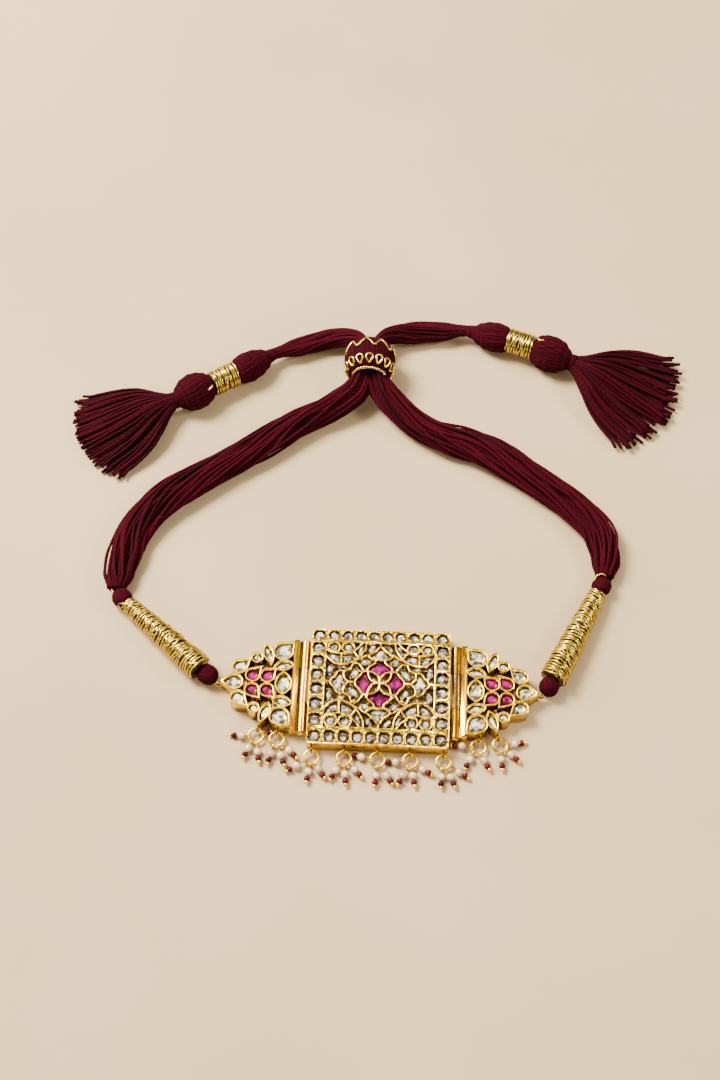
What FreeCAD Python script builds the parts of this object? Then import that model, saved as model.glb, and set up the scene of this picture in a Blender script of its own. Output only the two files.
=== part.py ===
import FreeCAD, Part
import math
import os

# Bajuband armlet: a domed gold centre plate and two gold side plates on pin hinges, set with
# clear stones and rubies behind thin raised walls. Jump rings with pearl charms hang from small
# eyes along the lower edge, and a maroon cotton cord with a sliding bead and two tassels ties it.
# Frame: millimetres, +Z up out of the plates' faces, +X along the row of plates, +Y towards the
# cord's loop. The origin is the middle of the centre plate's flat back, and all rests at z = 0.

V = FreeCAD.Vector
os.makedirs("parts", exist_ok=True)

# Centre plate: outer size, crown of its face, radius of the bowed face and pocket depth.
PLATE_X = 40.0
PLATE_Y = 36.0
PLATE_TOP = 7.2
BOW_R = 57.0
POCKET = 1.5
PLATE_CORNER = 0.9
WALL = 0.5
FIELD_X = 15.4
FIELD_Y = 13.2
EDGE_COL_X = 17.75
EDGE_ROW_Y = 15.75
SMALLEST_CELL = 0.12

# Side plates: height of the stone seats, of the floor between them and of the walls' tops.
SEAT_Z = 3.2
VOID_Z = 1.6
SIDE_TOP = 4.7
BAR_X0 = 23.3
BAR_X1 = 24.95
BAR_Y = 14.1
BAR_TOP = 4.3

# Hinges: axis place, barrel and pin radii, the middle knuckle's half length and the gaps.
HINGE_X = 21.65
HINGE_Z = 2.4
BARREL_R = 1.42
BORE_R = 0.75
PIN_R = 0.6
PIN_HEAD_R = 0.95
PIN_HEAD = 0.35
MIDDLE_Y = 5.3
KNUCKLE_GAP = 0.25
HEAD_GAP = 0.12
WEB_HIGH = 1.8
WEB_IN_PLATE = 0.6
WEB_IN_BAR = 0.3

# Stones: clearance round them, girdle height, crown height and size of the table.
STONE_GAP = 0.22
STONE_LIFT = 0.06
GIRDLE = 0.4
CROWN = 0.65
TABLE = 0.58

# Eyes, jump rings, head pins and pearls.
EYE_R = 0.92
EYE_WIRE = 0.3
EYE_Z = 1.95
EYE_STUB = 1.6
TIP_EYE_X = 45.95
TIP_EYE_Z = 2.5
TIP_EYE_R = 0.95
TIP_EYE_WIRE = 0.34
RING_R = 2.0
RING_WIRE = 0.24
RING_TILT = 10.8
LOOP_R = 0.56
LOOP_WIRE = 0.18
PIN_WIRE = 0.13
PEARL_R = 1.17
PEARL_HOLE = 0.25
PEARL_Z = 1.19
HEAD_R = 0.52
PEARL_TO_HEAD = 3.1

# Cord: sides of its faceted sections, largest turn in one step, and gap between the pieces on it.
SIDES = 12
ARC_STEP = 14.0
CORD_GAP = 0.3

# Cord pieces by the side plates: x, y, z of the two ends of each, and their largest radii.
LEFT_KNOB = ((-47.0, 1.2, 2.8), (-51.08, 3.62, 3.4))
LEFT_SLEEVE = ((-51.52, 4.05, 3.6), (-74.6, 24.4, 2.7))
LEFT_COLLAR = ((-74.72, 24.5, 2.85), (-77.95, 27.35, 2.85))
RIGHT_KNOB = ((47.2, 0.8, 2.8), (49.15, 4.72, 3.4))
RIGHT_SLEEVE = ((49.3, 5.0, 3.6), (62.9, 34.0, 2.8))
RIGHT_COLLAR = ((62.97, 34.14, 2.85), (64.8, 38.05, 2.85))
SLEEVE_WIDE = 3.45
SLEEVE_NARROW = 2.25
KNOB_R = 2.7
COLLAR_R = 2.75
BALL_END_R = 1.1

# Routes of the two bundles from the collars to the middle of the sliding bead, and of the tails.
LEFT_ROUTE = [(-78.3, 29.0, 2.9), (-78.6, 43.0, 3.5), (-71.3, 58.0, 3.6), (-56.5, 69.5, 3.7),
              (-41.5, 80.0, 3.6), (-28.5, 90.3, 3.5), (-19.2, 95.7, 4.3), (-9.9, 101.6, 6.8),
              (-8.95, 111.2, 7.4)]
RIGHT_ROUTE = [(64.9, 39.2, 2.9), (66.5, 50.5, 3.5), (58.5, 62.0, 3.6), (44.5, 72.5, 3.7),
               (30.0, 82.2, 3.6), (13.5, 86.6, 3.5), (3.2, 93.8, 4.4), (-4.8, 101.8, 6.8),
               (-5.65, 111.2, 7.4)]
LEFT_TAIL = [(-8.95, 112.0, 7.4), (-9.3, 119.4, 6.7), (-16.8, 123.6, 3.6), (-27.0, 120.8, 2.9),
             (-37.8, 114.9, 4.1)]
RIGHT_TAIL = [(-5.65, 112.0, 7.4), (-5.1, 119.8, 6.7), (1.9, 125.8, 3.6), (11.5, 127.6, 2.9),
              (23.5, 126.6, 4.1)]

# Half width and half height of a bundle and of a tail by part of their length.
BUNDLE_ROWS = [(0.0, 2.3, 2.3), (0.07, 3.8, 3.0), (0.2, 5.2, 3.3), (0.5, 5.1, 3.5), (0.72, 4.6, 3.4),
               (0.85, 3.5, 3.2), (0.905, 2.2, 2.8), (0.94, 1.25, 2.45), (1.0, 1.25, 2.45)]
TAIL_ROWS = [(0.0, 1.2, 2.4), (0.14, 1.2, 2.4), (0.3, 2.3, 2.7), (0.5, 3.1, 2.7), (0.8, 3.1, 2.6),
             (1.0, 1.8, 1.9)]

# Tail ends: waist, inner ball, winding, outer ball and neck along a gently bent line.
LEFT_KNOTS = ((-38.3, 114.6, 4.3), (-49.3, 106.3, 5.0), (-56.6, 101.3, 5.4), (-67.0, 95.4, 5.3))
RIGHT_KNOTS = ((24.2, 126.4, 4.3), (36.4, 122.8, 5.0), (44.2, 119.9, 5.4), (55.6, 115.2, 5.3))
BALL_R = 4.5
BIG_BALL_R = 5.2
WINDING_R = 3.55
BALL_START_R = 1.9
BALL_JOIN_R = 2.5
NECK_R = 2.0
WINDING_GAP = 0.5

# Tassels: direction of the middle lock, half of the fan's angle, and the length of a lock.
LEFT_TASSEL = (210.0, 31.0, 31.0)
RIGHT_TASSEL = (-27.5, 36.0, 34.5)
LOCKS = 11

# A tassel's head: length, drop and half width by part of its length. Its locks: where they start
# behind the head, how far apart, clearance over the surface, and half width and half height by part.
TASSEL_HEAD_LONG = 5.0
TASSEL_HEAD_DROP = 0.9
TASSEL_HEAD_ROWS = [(0, 2.1), (0.35, 3.0), (1.0, 3.1)]
TASSEL_GAP = 0.5
LOCK_START = 2.5
LOCK_SPREAD = 1.5
LOCK_REST = 0.12
LOCK_ROWS = [(0.0, 0.9, 1.6), (0.25, 1.5, 2.2), (0.6, 2.2, 2.0), (1.0, 2.5, 1.5)]
LOCK_SIDES = 8

# Sliding bead: its middle, length along Y, belly and end radii, and the radius of its hole.
SLIDER = (-7.3, 110.6, 7.75)
SLIDER_LONG = 10.6
SLIDER_R = 7.7
SLIDER_END_R = 5.3
SLIDER_BORE = 4.25

# Centre plate's pattern, drawn in one quarter and mirrored into the other three.
# Each wall is a smooth line through its points, in millimetres from the plate's middle.
QUARTER_WALLS = {
    "petal upper side": [(0, 0.2), (0.12, 1.3), (0.6, 2.35), (1.7, 3.2), (3.3, 3.6)],
    "petal lower side": [(0.2, 0), (1.2, 0.12), (2.3, 0.7), (3.05, 1.9), (3.35, 3.5)],
    "ruby shoulder, upper": [(3.35, 3.6), (3.55, 4.4), (3.1, 5.15), (2.2, 5.75), (1.5, 6.35), (1.2, 7.4)],
    "ruby shoulder, side": [(3.3, 3.65), (4.4, 3.65), (5.1, 3.1), (5.5, 2.3), (6.1, 1.6), (6.8, 0.95),
                            (7.05, 0)],
    "ogee base": [(0, 7.5), (1.2, 7.45), (2.4, 7.7), (3.1, 8.25), (3.5, 8.95)],
    "ogee flank": [(0, 12.1), (0.6, 11.7), (1.05, 11.0), (1.7, 10.25), (2.5, 9.7), (3.45, 9.0)],
    "kidney": [(4.6, 3.8), (5.3, 4.9), (6.0, 5.85), (6.9, 6.3), (7.7, 5.95), (8.05, 5.1), (8.3, 4.3),
               (9.1, 3.9), (9.9, 3.55), (10.3, 2.9), (10.25, 2.1), (9.95, 1.2), (9.3, 0.45), (8.8, 0)],
    "side lobe": [(10.15, 3.2), (10.7, 3.6), (11.4, 3.55), (12.1, 3.1), (12.5, 2.3), (12.95, 1.6),
                  (13.6, 1.1), (14.1, 0)],
    "shield top": [(3.4, 9.0), (4.2, 8.85), (4.9, 8.3), (5.6, 7.8), (6.5, 7.45), (7.2, 7.1)],
    "fan rim": [(15.5, 8.6), (15.0, 7.7), (14.3, 6.85), (13.3, 6.1), (12.2, 5.7), (11.0, 5.6),
                (9.8, 5.8), (8.6, 6.3), (7.5, 6.95), (6.4, 8.0), (5.5, 9.1), (4.8, 10.2),
                (4.35, 11.4), (4.1, 13.4)],
    "fan spoke": [(11.15, 5.7), (11.15, 9.3)],
    "fan end spoke": [(6.45, 8.3), (7.1, 9.3), (7.9, 10.3)],
    "fan inner rim": [(7.8, 10.2), (8.5, 9.8), (9.4, 9.55), (10.4, 9.45), (11.15, 9.25), (12.0, 9.5),
                      (13.3, 9.6), (14.5, 9.85), (15.5, 10.6)],
    "leaf side": [(5.2, 13.3), (5.7, 12.6), (6.4, 11.7), (7.2, 11.0), (7.9, 10.5)],
}
# Short walls on the two axes: x from and to, then y from and to.
ACROSS_WALLS = [(14.0, 15.6), (7.0, 8.9)]
UPRIGHT_WALL = (12.0, 13.4)

# Clear stones of a quarter. Rose stones: middle x, y and radius. Ovals: middle x, y, half length,
# half width and turn. The others, and the rubies, are traced round their outlines.
ROSE_STONES = {"corner": (13.4, 11.45, 1.5), "inner": (9.35, 11.45, 1.5)}
FIELD_OVALS = {
    "kidney": (7.25, 2.9, 1.75, 0.95, -48),
    "leaf": (5.5, 11.05, 1.7, 0.64, -66),
    "slanted leaf": (2.45, 11.6, 1.5, 0.75, -55),
    "edge": (14.2, 3.9, 1.75, 0.8, 88),
    "sliver": (10.7, 4.75, 1.2, 0.28, 0),
    "shield": (4.1, 6.85, 1.45, 0.9, -8),
}
FAN_STONES = {
    "inner": [(7.5, 8.1), (8.3, 9.0), (9.6, 8.9), (10.5, 8.6), (10.55, 7.4), (10.4, 6.5), (9.3, 6.75),
              (8.2, 7.3)],
    "outer": [(11.8, 6.4), (12.6, 6.45), (13.7, 7.05), (14.7, 8.2), (14.8, 9.1), (13.6, 9.0),
              (12.4, 8.9), (11.75, 8.4)],
}
RUBY_UP = [(0, 2.35), (1.0, 3.5), (2.75, 4.0), (2.95, 4.5), (2.4, 5.05), (1.6, 5.6), (0.95, 6.3), (0.7, 7.0),
           (-0.7, 7.0), (-0.95, 6.3), (-1.6, 5.6), (-2.4, 5.05), (-2.95, 4.5), (-2.75, 4.0), (-1.0, 3.5)]
RUBY_SIDE = [(1.95, 0), (2.9, 0.65), (3.55, 1.7), (3.85, 3.1), (4.3, 3.2), (4.8, 2.6), (5.1, 1.8), (5.8, 1.1),
             (6.5, 0.5), (6.5, -0.5), (5.8, -1.1), (5.1, -1.8), (4.8, -2.6), (4.3, -3.2), (3.85, -3.1),
             (3.55, -1.7), (2.9, -0.65)]
OGEE_STONE = [(-2.6, 8.55), (-1.3, 8.0), (0, 7.95), (1.3, 8.0), (2.6, 8.55), (1.7, 9.5), (0.85, 10.3),
              (0.3, 11.2), (-0.3, 11.2), (-0.85, 10.3), (-1.7, 9.5)]
LOBE_STONE = [(9.55, 0), (10.4, 0.9), (10.65, 2.2), (11.0, 2.95), (11.55, 2.85), (12.05, 1.9),
              (12.7, 0.95), (13.5, 0), (12.7, -0.95), (12.05, -1.9), (11.55, -2.85), (11.0, -2.95),
              (10.65, -2.2), (10.4, -0.9)]

# Border: places of the round stones along the rows and the columns, and the pockets' half sizes.
ROW_STONE_X = (1.9, 5.65, 9.5, 13.5)
COLUMN_STONE_Y = (2.2, 6.7, 11.2)
ROW_POCKET = (1.6, 1.75)
COLUMN_POCKET = (1.8, 1.85)
CORNER_POCKET = (1.75, 1.75)
POCKET_CORNER = 1.4
BORDER_STONE_R = 1.4

# Side plate's stones for the +X plate, mirrored for the other. Upper half, mirrored below.
# Pears: middle x, y, body radius, tip x, y. Marquises: middle x, y, half length, half width, turn.
SIDE_PEARS = {
    "big": (27.9, 10.2, 2.5, 25.15, 12.9),
    "outer": (40.05, 4.85, 1.85, 37.5, 7.05),
}
SIDE_RUBIES = {
    "inner": (32.0, 2.22, 1.75, 29.95, 4.2),
    "outer": (36.2, 2.3, 1.75, 34.2, 4.55),
}
SIDE_MARQUISES = {
    "lying": (27.45, 5.6, 2.5, 1.3, -12),
    "standing": (32.15, 9.2, 2.8, 1.1, 70),
}
SIDE_ROUND = (35.3, 7.9, 1.3)
SIDE_OVAL = (27.35, 0.0, 3.15, 2.0, 90)
SIDE_TIP = (41.35, 0.0, 2.1, 44.6, 0.0)
VOID_FLOOR = [(24.5, 12.0), (28.0, 10.5), (32.4, 10.0), (35.5, 8.0), (40.0, 4.5), (42.5, 0)]

# Eyes on the lower edge of the +X side plate: x, y, direction that the ring hangs in.
SIDE_EYES = {"inner": (28.4, -14.15, -92), "outer": (33.85, -13.35, -74)}
CENTRE_EYE_X = (-18.4, -9.2, 0.2, 9.2, 18.6)
CENTRE_EYE_Y = -19.1
CENTRE_RING_TURN = (-87, -89, -90, -84, -88)

# Charms on each jump ring, in the order of the rings from left to right: angle of the pin's loop
# on the ring, direction of the pin, and distance from the loop to the pearl's middle. One more
# pin, tucked in beside the plate, has its ball at the given distance and carries no pearl.
CHARMS = {
    "ring_left_outer": [(180, 177, 2.1), (-122, -112, 2.1), (-82, -79, 2.7)],
    "ring_left_inner": [(-112, -104, 2.4), (-72, -70, 2.9), (-33, -43, 2.7)],
    "ring_centre_1": [(-146, -148, 2.8), (-100, -96, 2.3), (-60, -53, 2.1)],
    "ring_centre_2": [(-128, -116, 2.1), (-84, -83, 2.6), (-42, -46, 2.4)],
    "ring_centre_3": [(174, 166, 2.6), (-90, -95, 2.6), (-58, -57, 3.2)],
    "ring_centre_4": [(-170, 178, 2.0), (-115, -115, 2.6), (-76, -80, 2.3), (-31, -30, 2.1)],
    "ring_centre_5": [(-103, -90, 2.3), (-60, -66, 2.7), (-22, -34, 3.2)],
    "ring_right_inner": [(178, 173, 2.5), (-132, -114, 2.3), (-70, -60, 2.1)],
    "ring_right_outer": [(10, 13, 2.3), (-32, -42, 2.1), (-82, -84, 2.1)],
}
TUCKED_PIN = ("ring_left_outer", 30, 18, 2.9)


def save(name, shape):
    """Write one piece to its own file."""
    shape.exportStep("parts/" + name + ".step")


def unit(angle):
    """Flat direction at an angle in degrees from +X."""
    return V(math.cos(math.radians(angle)), math.sin(math.radians(angle)), 0)


def polygon_face(corners):
    """Flat face inside a closed ring of corner vectors."""
    return Part.Face(Part.makePolygon(corners + corners[:1]))


def closed_solid(faces):
    """Solid inside a closed set of flat faces, with its skin facing outwards."""
    solid = Part.Solid(Part.Shell(faces))
    if solid.Volume < 0:
        solid.reverse()
    return solid


def fused(shapes):
    """One shape from overlapping ones, with no seams inside its flat faces."""
    return shapes[0].multiFuse(shapes[1:]).removeSplitter()


def mirrored(shape, axis):
    """Copy of a shape mirrored across the plane through the origin that axis is normal to."""
    return shape.mirror(V(0, 0, 0), axis)


# Outlines: flat faces on z = 0, each grown outwards by grow.

def round_face(x, y, radius, grow=0.0):
    edge = Part.makeCircle(radius + grow, V(x, y, 0))
    return Part.Face(Part.Wire([edge]))


def pear_face(x, y, radius, tip_x, tip_y, grow=0.0):
    """Round body with two straight flanks that meet at the tip."""
    scale = (radius + grow) / radius
    reach = V(tip_x - x, tip_y - y, 0)
    turn = math.degrees(math.acos(radius / reach.Length))
    ahead = math.degrees(math.atan2(reach.y, reach.x))
    body = V(x, y, 0)
    tip = body + reach * scale
    first = body + unit(ahead + turn) * (radius + grow)
    back = body + unit(ahead + 180) * (radius + grow)
    last = body + unit(ahead - turn) * (radius + grow)
    arc = Part.Arc(first, back, last).toShape()
    return Part.Face(Part.Wire([arc, Part.makeLine(last, tip), Part.makeLine(tip, first)]))


def marquise_ends(half_long, half_wide, grow):
    """Grown half length and half width of a shape made of two arcs."""
    radius = (half_long ** 2 + half_wide ** 2) / (2 * half_wide)
    reach = math.sqrt((radius + grow) ** 2 - (radius - half_wide) ** 2)
    return reach, half_wide + grow


def marquise_face(x, y, half_long, half_wide, turn, grow=0.0):
    """Two arcs that meet in a point at each end."""
    reach, wide = marquise_ends(half_long, half_wide, grow)
    middle = V(x, y, 0)
    along = unit(turn)
    side = unit(turn + 90)
    ends = (middle - along * reach, middle + along * reach)
    upper = Part.Arc(ends[0], middle + side * wide, ends[1]).toShape()
    lower = Part.Arc(ends[1], middle - side * wide, ends[0]).toShape()
    return Part.Face(Part.Wire([upper, lower]))


def rounded_face(x, y, half_x, half_y, corner):
    """Rectangle with round corners."""
    edges = []
    for quarter in range(4):
        ahead = unit(90 * quarter)
        left = unit(90 * quarter + 90)
        half_a, half_b = (half_x, half_y) if quarter % 2 == 0 else (half_y, half_x)
        centre = V(x, y, 0) + ahead * (half_a - corner) + left * (half_b - corner)
        start = centre + ahead * corner
        bend = centre + unit(90 * quarter + 45) * corner
        end = centre + left * corner
        following = end - ahead * 2 * (half_a - corner)
        edges.append(Part.Arc(start, bend, end).toShape())
        if half_a > corner + 1e-6:
            edges.append(Part.makeLine(end, following))
    return Part.Face(Part.Wire(edges))


def smooth_path(points, step=0.75):
    """Places about step apart on a smooth curve through the listed (x, y) points."""
    path = []
    for i in range(len(points) - 1):
        before = points[max(i - 1, 0)]
        start, end = points[i], points[i + 1]
        after = points[min(i + 2, len(points) - 1)]
        parts = max(1, int(round(math.dist(start, end) / step)))
        for k in range(parts):
            t = k / parts
            place = []
            for a, b, c, d in zip(before, start, end, after):
                bend = (2 * a - 5 * b + 4 * c - d) * t * t + (3 * b - a - 3 * c + d) * t ** 3
                place.append(0.5 * (2 * b + (c - a) * t + bend))
            path.append(V(place[0], place[1], 0))
    path.append(V(points[-1][0], points[-1][1], 0))
    return path


def wall_face(points, width=WALL):
    """Flat strip of even width along a smooth path, with its ends run on a little."""
    path = smooth_path(points)
    left, right = [], []
    for i, place in enumerate(path):
        along = path[min(i + 1, len(path) - 1)] - path[max(i - 1, 0)]
        along.normalize()
        if i == 0:
            place = place - along * width * 0.4
        if i == len(path) - 1:
            place = place + along * width * 0.4
        side = V(-along.y, along.x, 0) * (width / 2)
        left.append(place + side)
        right.append(place - side)
    return polygon_face(left + right[::-1])


# Cut stones: outlines as lists of corners round the stone's own middle.

def round_outline(radius, count=10):
    return [unit(360 * (k + 0.5) / count) * radius for k in range(count)]


def oval_outline(half_long, half_wide, turn, count=10):
    along, side = unit(turn), unit(turn + 90)
    corners = []
    for k in range(count):
        place = unit(360 * (k + 0.5) / count)
        corners.append(along * place.x * half_long + side * place.y * half_wide)
    return corners


def marquise_outline(half_long, half_wide, turn, count=4):
    reach, wide = marquise_ends(half_long, half_wide, -STONE_GAP)
    radius = (reach ** 2 + wide ** 2) / (2 * wide)
    half_angle = math.degrees(math.asin(reach / radius))
    along, side = unit(turn), unit(turn + 90)
    corners = []
    for flip in (1, -1):
        for k in range(count):
            a = math.radians(half_angle * (2 * k / count - 1))
            drop = radius * math.cos(a) - (radius - wide)
            corners.append((along * (radius * math.sin(a)) + side * drop) * -flip)
    return corners


def pear_outline(radius, tip, grow=-STONE_GAP, count=8):
    """Corners round the middle of the body; tip is the vector from the middle to the tip."""
    reach = V(tip.x, tip.y, 0)
    turn = math.degrees(math.acos(radius / reach.Length))
    ahead = math.degrees(math.atan2(reach.y, reach.x))
    scale = (radius + grow) / radius
    corners = [reach * scale]
    for k in range(count):
        angle = ahead + turn + (360 - 2 * turn) * k / (count - 1)
        corners.append(unit(angle) * (radius + grow))
    return corners


def cut_stone(corners, girdle=GIRDLE, crown=CROWN, table=TABLE):
    """Flat back, upright girdle, one crown facet to each side of the outline, and a table."""
    count = len(corners)
    middle = V(0, 0, 0)
    for corner in corners:
        middle = middle + corner * (1.0 / count)
    low = list(corners)
    mid = [c + V(0, 0, girdle) for c in corners]
    top = [middle + (c - middle) * table + V(0, 0, girdle + crown) for c in corners]
    faces = [polygon_face(low), polygon_face(top)]
    for i in range(count):
        j = (i + 1) % count
        faces.append(polygon_face([low[i], low[j], mid[j], mid[i]]))
        faces.append(polygon_face([mid[i], mid[j], top[j], top[i]]))
    return closed_solid(faces)


def seat_on_bow(stone, x, y, turn=0.0):
    """Stone laid on the bowed floor of the centre plate at x, y, square to the floor."""
    floor_r = BOW_R - POCKET
    tilt = math.asin(y / floor_r)
    lifted = floor_r + STONE_LIFT
    centre_z = PLATE_TOP - BOW_R
    place = V(x, lifted * math.sin(tilt), centre_z + lifted * math.cos(tilt))
    spin = FreeCAD.Rotation(V(0, 0, 1), turn)
    lean = FreeCAD.Rotation(V(1, 0, 0), -math.degrees(tilt))
    laid = stone.copy()
    laid.Placement = FreeCAD.Placement(place, lean.multiply(spin))
    return laid


def seat_flat(stone, x, y, z):
    laid = stone.copy()
    laid.translate(V(x, y, z))
    return laid


def traced_stone(points):
    """Cut stone from absolute outline points; returns it about its middle, and that middle."""
    middle_x = sum(p[0] for p in points) / len(points)
    middle_y = sum(p[1] for p in points) / len(points)
    corners = [V(x - middle_x, y - middle_y, 0) for x, y in points]
    return cut_stone(corners), middle_x, middle_y


def plate_walls():
    """Raised walls of the centre plate as one flat face: border with its pockets, and lattice."""
    field = rounded_face(0, 0, FIELD_X, FIELD_Y, 0.3)
    pockets = []
    strips = []
    for flip_x in (-1, 1):
        for flip_y in (-1, 1):
            row_y, column_x = flip_y * EDGE_ROW_Y, flip_x * EDGE_COL_X
            pockets.append(rounded_face(column_x, row_y, *CORNER_POCKET, POCKET_CORNER))
            for x in ROW_STONE_X:
                pockets.append(rounded_face(flip_x * x, row_y, *ROW_POCKET, POCKET_CORNER))
            for y in COLUMN_STONE_Y:
                pockets.append(rounded_face(column_x, flip_y * y, *COLUMN_POCKET, POCKET_CORNER))
            for points in QUARTER_WALLS.values():
                strips.append(wall_face([(flip_x * x, flip_y * y) for x, y in points]))
            for x, y, radius in ROSE_STONES.values():
                bezel = round_face(flip_x * x, flip_y * y, radius + WALL)
                strips.append(bezel.cut(round_face(flip_x * x, flip_y * y, radius)))
        strips += [wall_face([(flip_x * x, 0) for x in ends]) for ends in ACROSS_WALLS]
        strips.append(wall_face([(0, flip_x * y) for y in UPRIGHT_WALL]))
    cells = [cell for cell in field.cut(strips).Faces if cell.Area > SMALLEST_CELL]
    return rounded_face(0, 0, PLATE_X / 2, PLATE_Y / 2, PLATE_CORNER).cut(pockets + cells)


def eye(x, y, azimuth):
    """Upright wire eye whose stub runs back into the plate's edge."""
    out = unit(azimuth)
    centre = V(x, y, EYE_Z)
    ring = Part.makeTorus(EYE_R, EYE_WIRE, centre, V(-out.y, out.x, 0))
    stub = Part.makeCylinder(EYE_WIRE * 1.2, EYE_STUB, centre - out * (EYE_R - 0.1), out * -1)
    return ring.fuse(stub)


def barrel(x, y_from, y_to):
    return Part.makeCylinder(BARREL_R, y_to - y_from, V(x, y_from, HINGE_Z), V(0, 1, 0))


def bore(x):
    return Part.makeCylinder(BORE_R, 2 * PLATE_Y, V(x, -PLATE_Y, HINGE_Z), V(0, 1, 0))


def centre_plate():
    """Bowed slab, raised walls cut to the bow, middle knuckles and five eyes, all one solid."""
    axis_start = V(-PLATE_X, 0, PLATE_TOP - BOW_R)
    face_bow = Part.makeCylinder(BOW_R, 2 * PLATE_X, axis_start, V(1, 0, 0))
    floor_bow = Part.makeCylinder(BOW_R - POCKET, 2 * PLATE_X, axis_start, V(1, 0, 0))
    height = V(0, 0, PLATE_TOP + 1)
    slab = rounded_face(0, 0, PLATE_X / 2, PLATE_Y / 2, PLATE_CORNER).extrude(height).common(floor_bow)
    walls = plate_walls().extrude(height).common(face_bow)
    pieces = [slab, walls]
    web_x = PLATE_X / 2 - WEB_IN_PLATE
    for side in (-1, 1):
        pieces.append(barrel(side * HINGE_X, -MIDDLE_Y, MIDDLE_Y))
        corner = V(web_x, -MIDDLE_Y, HINGE_Z - WEB_HIGH / 2)
        web = Part.makeBox(HINGE_X - web_x, 2 * MIDDLE_Y, WEB_HIGH, corner)
        pieces.append(web if side > 0 else mirrored(web, V(1, 0, 0)))
    for x in CENTRE_EYE_X:
        pieces.append(eye(x, CENTRE_EYE_Y, -90))
    body = pieces[0].multiFuse(pieces[1:])
    return body.cut([bore(HINGE_X), bore(-HINGE_X)])


def side_settings():
    """Every setting of the +X side plate as (kind, name, mirror sign, sizes)."""
    settings = []
    for flip in (1, -1):
        for kind, table in (("pear", SIDE_PEARS), ("pear", SIDE_RUBIES), ("marquise", SIDE_MARQUISES)):
            for name, sizes in table.items():
                settings.append((kind, name, flip, sizes))
        settings.append(("round", "small", flip, SIDE_ROUND))
    settings.append(("pear", "tip", 1, SIDE_TIP))
    settings.append(("marquise", "middle", 1, SIDE_OVAL))
    return settings


def setting_face(kind, flip, sizes, grow):
    if kind == "pear":
        x, y, radius, tip_x, tip_y = sizes
        return pear_face(x, flip * y, radius, tip_x, flip * tip_y, grow)
    if kind == "marquise":
        x, y, half_long, half_wide, turn = sizes
        return marquise_face(x, flip * y, half_long, half_wide, flip * turn, grow)
    x, y, radius = sizes
    return round_face(x, flip * y, radius, grow)


def side_plate():
    """Seats and raised walls round every stone, floor between them, hinge bar, knuckles, eyes."""
    outers = [setting_face(kind, flip, sizes, WALL) for kind, name, flip, sizes in side_settings()]
    pockets = [setting_face(kind, flip, sizes, 0.0) for kind, name, flip, sizes in side_settings()]
    filler = polygon_face([V(x, y, 0) for x, y in VOID_FLOOR] + [V(x, -y, 0) for x, y in VOID_FLOOR[-2::-1]])
    settings = fused(outers)
    seats = settings.extrude(V(0, 0, SEAT_Z))
    walls = settings.cut(pockets).extrude(V(0, 0, SIDE_TOP))
    floor = filler.extrude(V(0, 0, VOID_Z))
    bar = Part.makeBox(BAR_X1 - BAR_X0, 2 * BAR_Y, BAR_TOP, V(BAR_X0, -BAR_Y, 0))
    pieces = [seats, walls, floor, bar]
    knuckle_start = MIDDLE_Y + KNUCKLE_GAP
    for side in (-1, 1):
        y_from, y_to = sorted((side * knuckle_start, side * BAR_Y))
        pieces.append(barrel(HINGE_X, y_from, y_to))
        web_size = (BAR_X0 + WEB_IN_BAR - HINGE_X, y_to - y_from, WEB_HIGH)
        pieces.append(Part.makeBox(*web_size, V(HINGE_X, y_from, HINGE_Z - WEB_HIGH / 2)))
    for x, y, azimuth in SIDE_EYES.values():
        pieces.append(eye(x, y, azimuth))
    pieces.append(tip_eye())
    body = pieces[0].multiFuse(pieces[1:])
    return body.cut(bore(HINGE_X))


def tip_eye(grow=0.0):
    """Eye at the point of a side plate, standing in line with the row of plates."""
    centre = V(TIP_EYE_X, 0, TIP_EYE_Z)
    ring = Part.makeTorus(TIP_EYE_R, TIP_EYE_WIRE + grow, centre, V(0, 1, 0))
    if grow:
        return ring
    stub_start = centre - V(TIP_EYE_R, 0, 0)
    return ring.fuse(Part.makeCylinder(TIP_EYE_WIRE * 1.05, EYE_STUB, stub_start, V(-1, 0, 0)))


def hinge_pin(x):
    """Pin through all the knuckles of one hinge, with a flat head at each end."""
    reach = BAR_Y + HEAD_GAP
    pin = Part.makeCylinder(PIN_R, 2 * reach, V(x, -reach, HINGE_Z), V(0, 1, 0))
    heads = [Part.makeCylinder(PIN_HEAD_R, PIN_HEAD, V(x, y, HINGE_Z), V(0, 1, 0))
             for y in (-reach - PIN_HEAD, reach)]
    return fused([pin] + heads)


def side_stone(kind, flip, sizes):
    """Cut stone for one setting of the +X side plate, in its seat."""
    x, y = sizes[0], flip * sizes[1]
    if kind == "pear":
        radius, tip_x, tip_y = sizes[2:]
        corners = pear_outline(radius, V(tip_x - x, flip * tip_y - y, 0))
    elif kind == "marquise":
        half_long, half_wide, turn = sizes[2:]
        corners = marquise_outline(half_long, half_wide, flip * turn)
    else:
        corners = round_outline(sizes[2] - STONE_GAP)
    return seat_flat(cut_stone(corners), x, y, SEAT_Z + STONE_LIFT)


def border_stones():
    stones = []
    stone = cut_stone(round_outline(BORDER_STONE_R))
    for flip_x in (-1, 1):
        for flip_y in (-1, 1):
            places = [(EDGE_COL_X, EDGE_ROW_Y)]
            places += [(x, EDGE_ROW_Y) for x in ROW_STONE_X]
            places += [(EDGE_COL_X, y) for y in COLUMN_STONE_Y]
            for x, y in places:
                stones.append(seat_on_bow(stone, flip_x * x, flip_y * y))
    return Part.makeCompound(stones)


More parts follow.
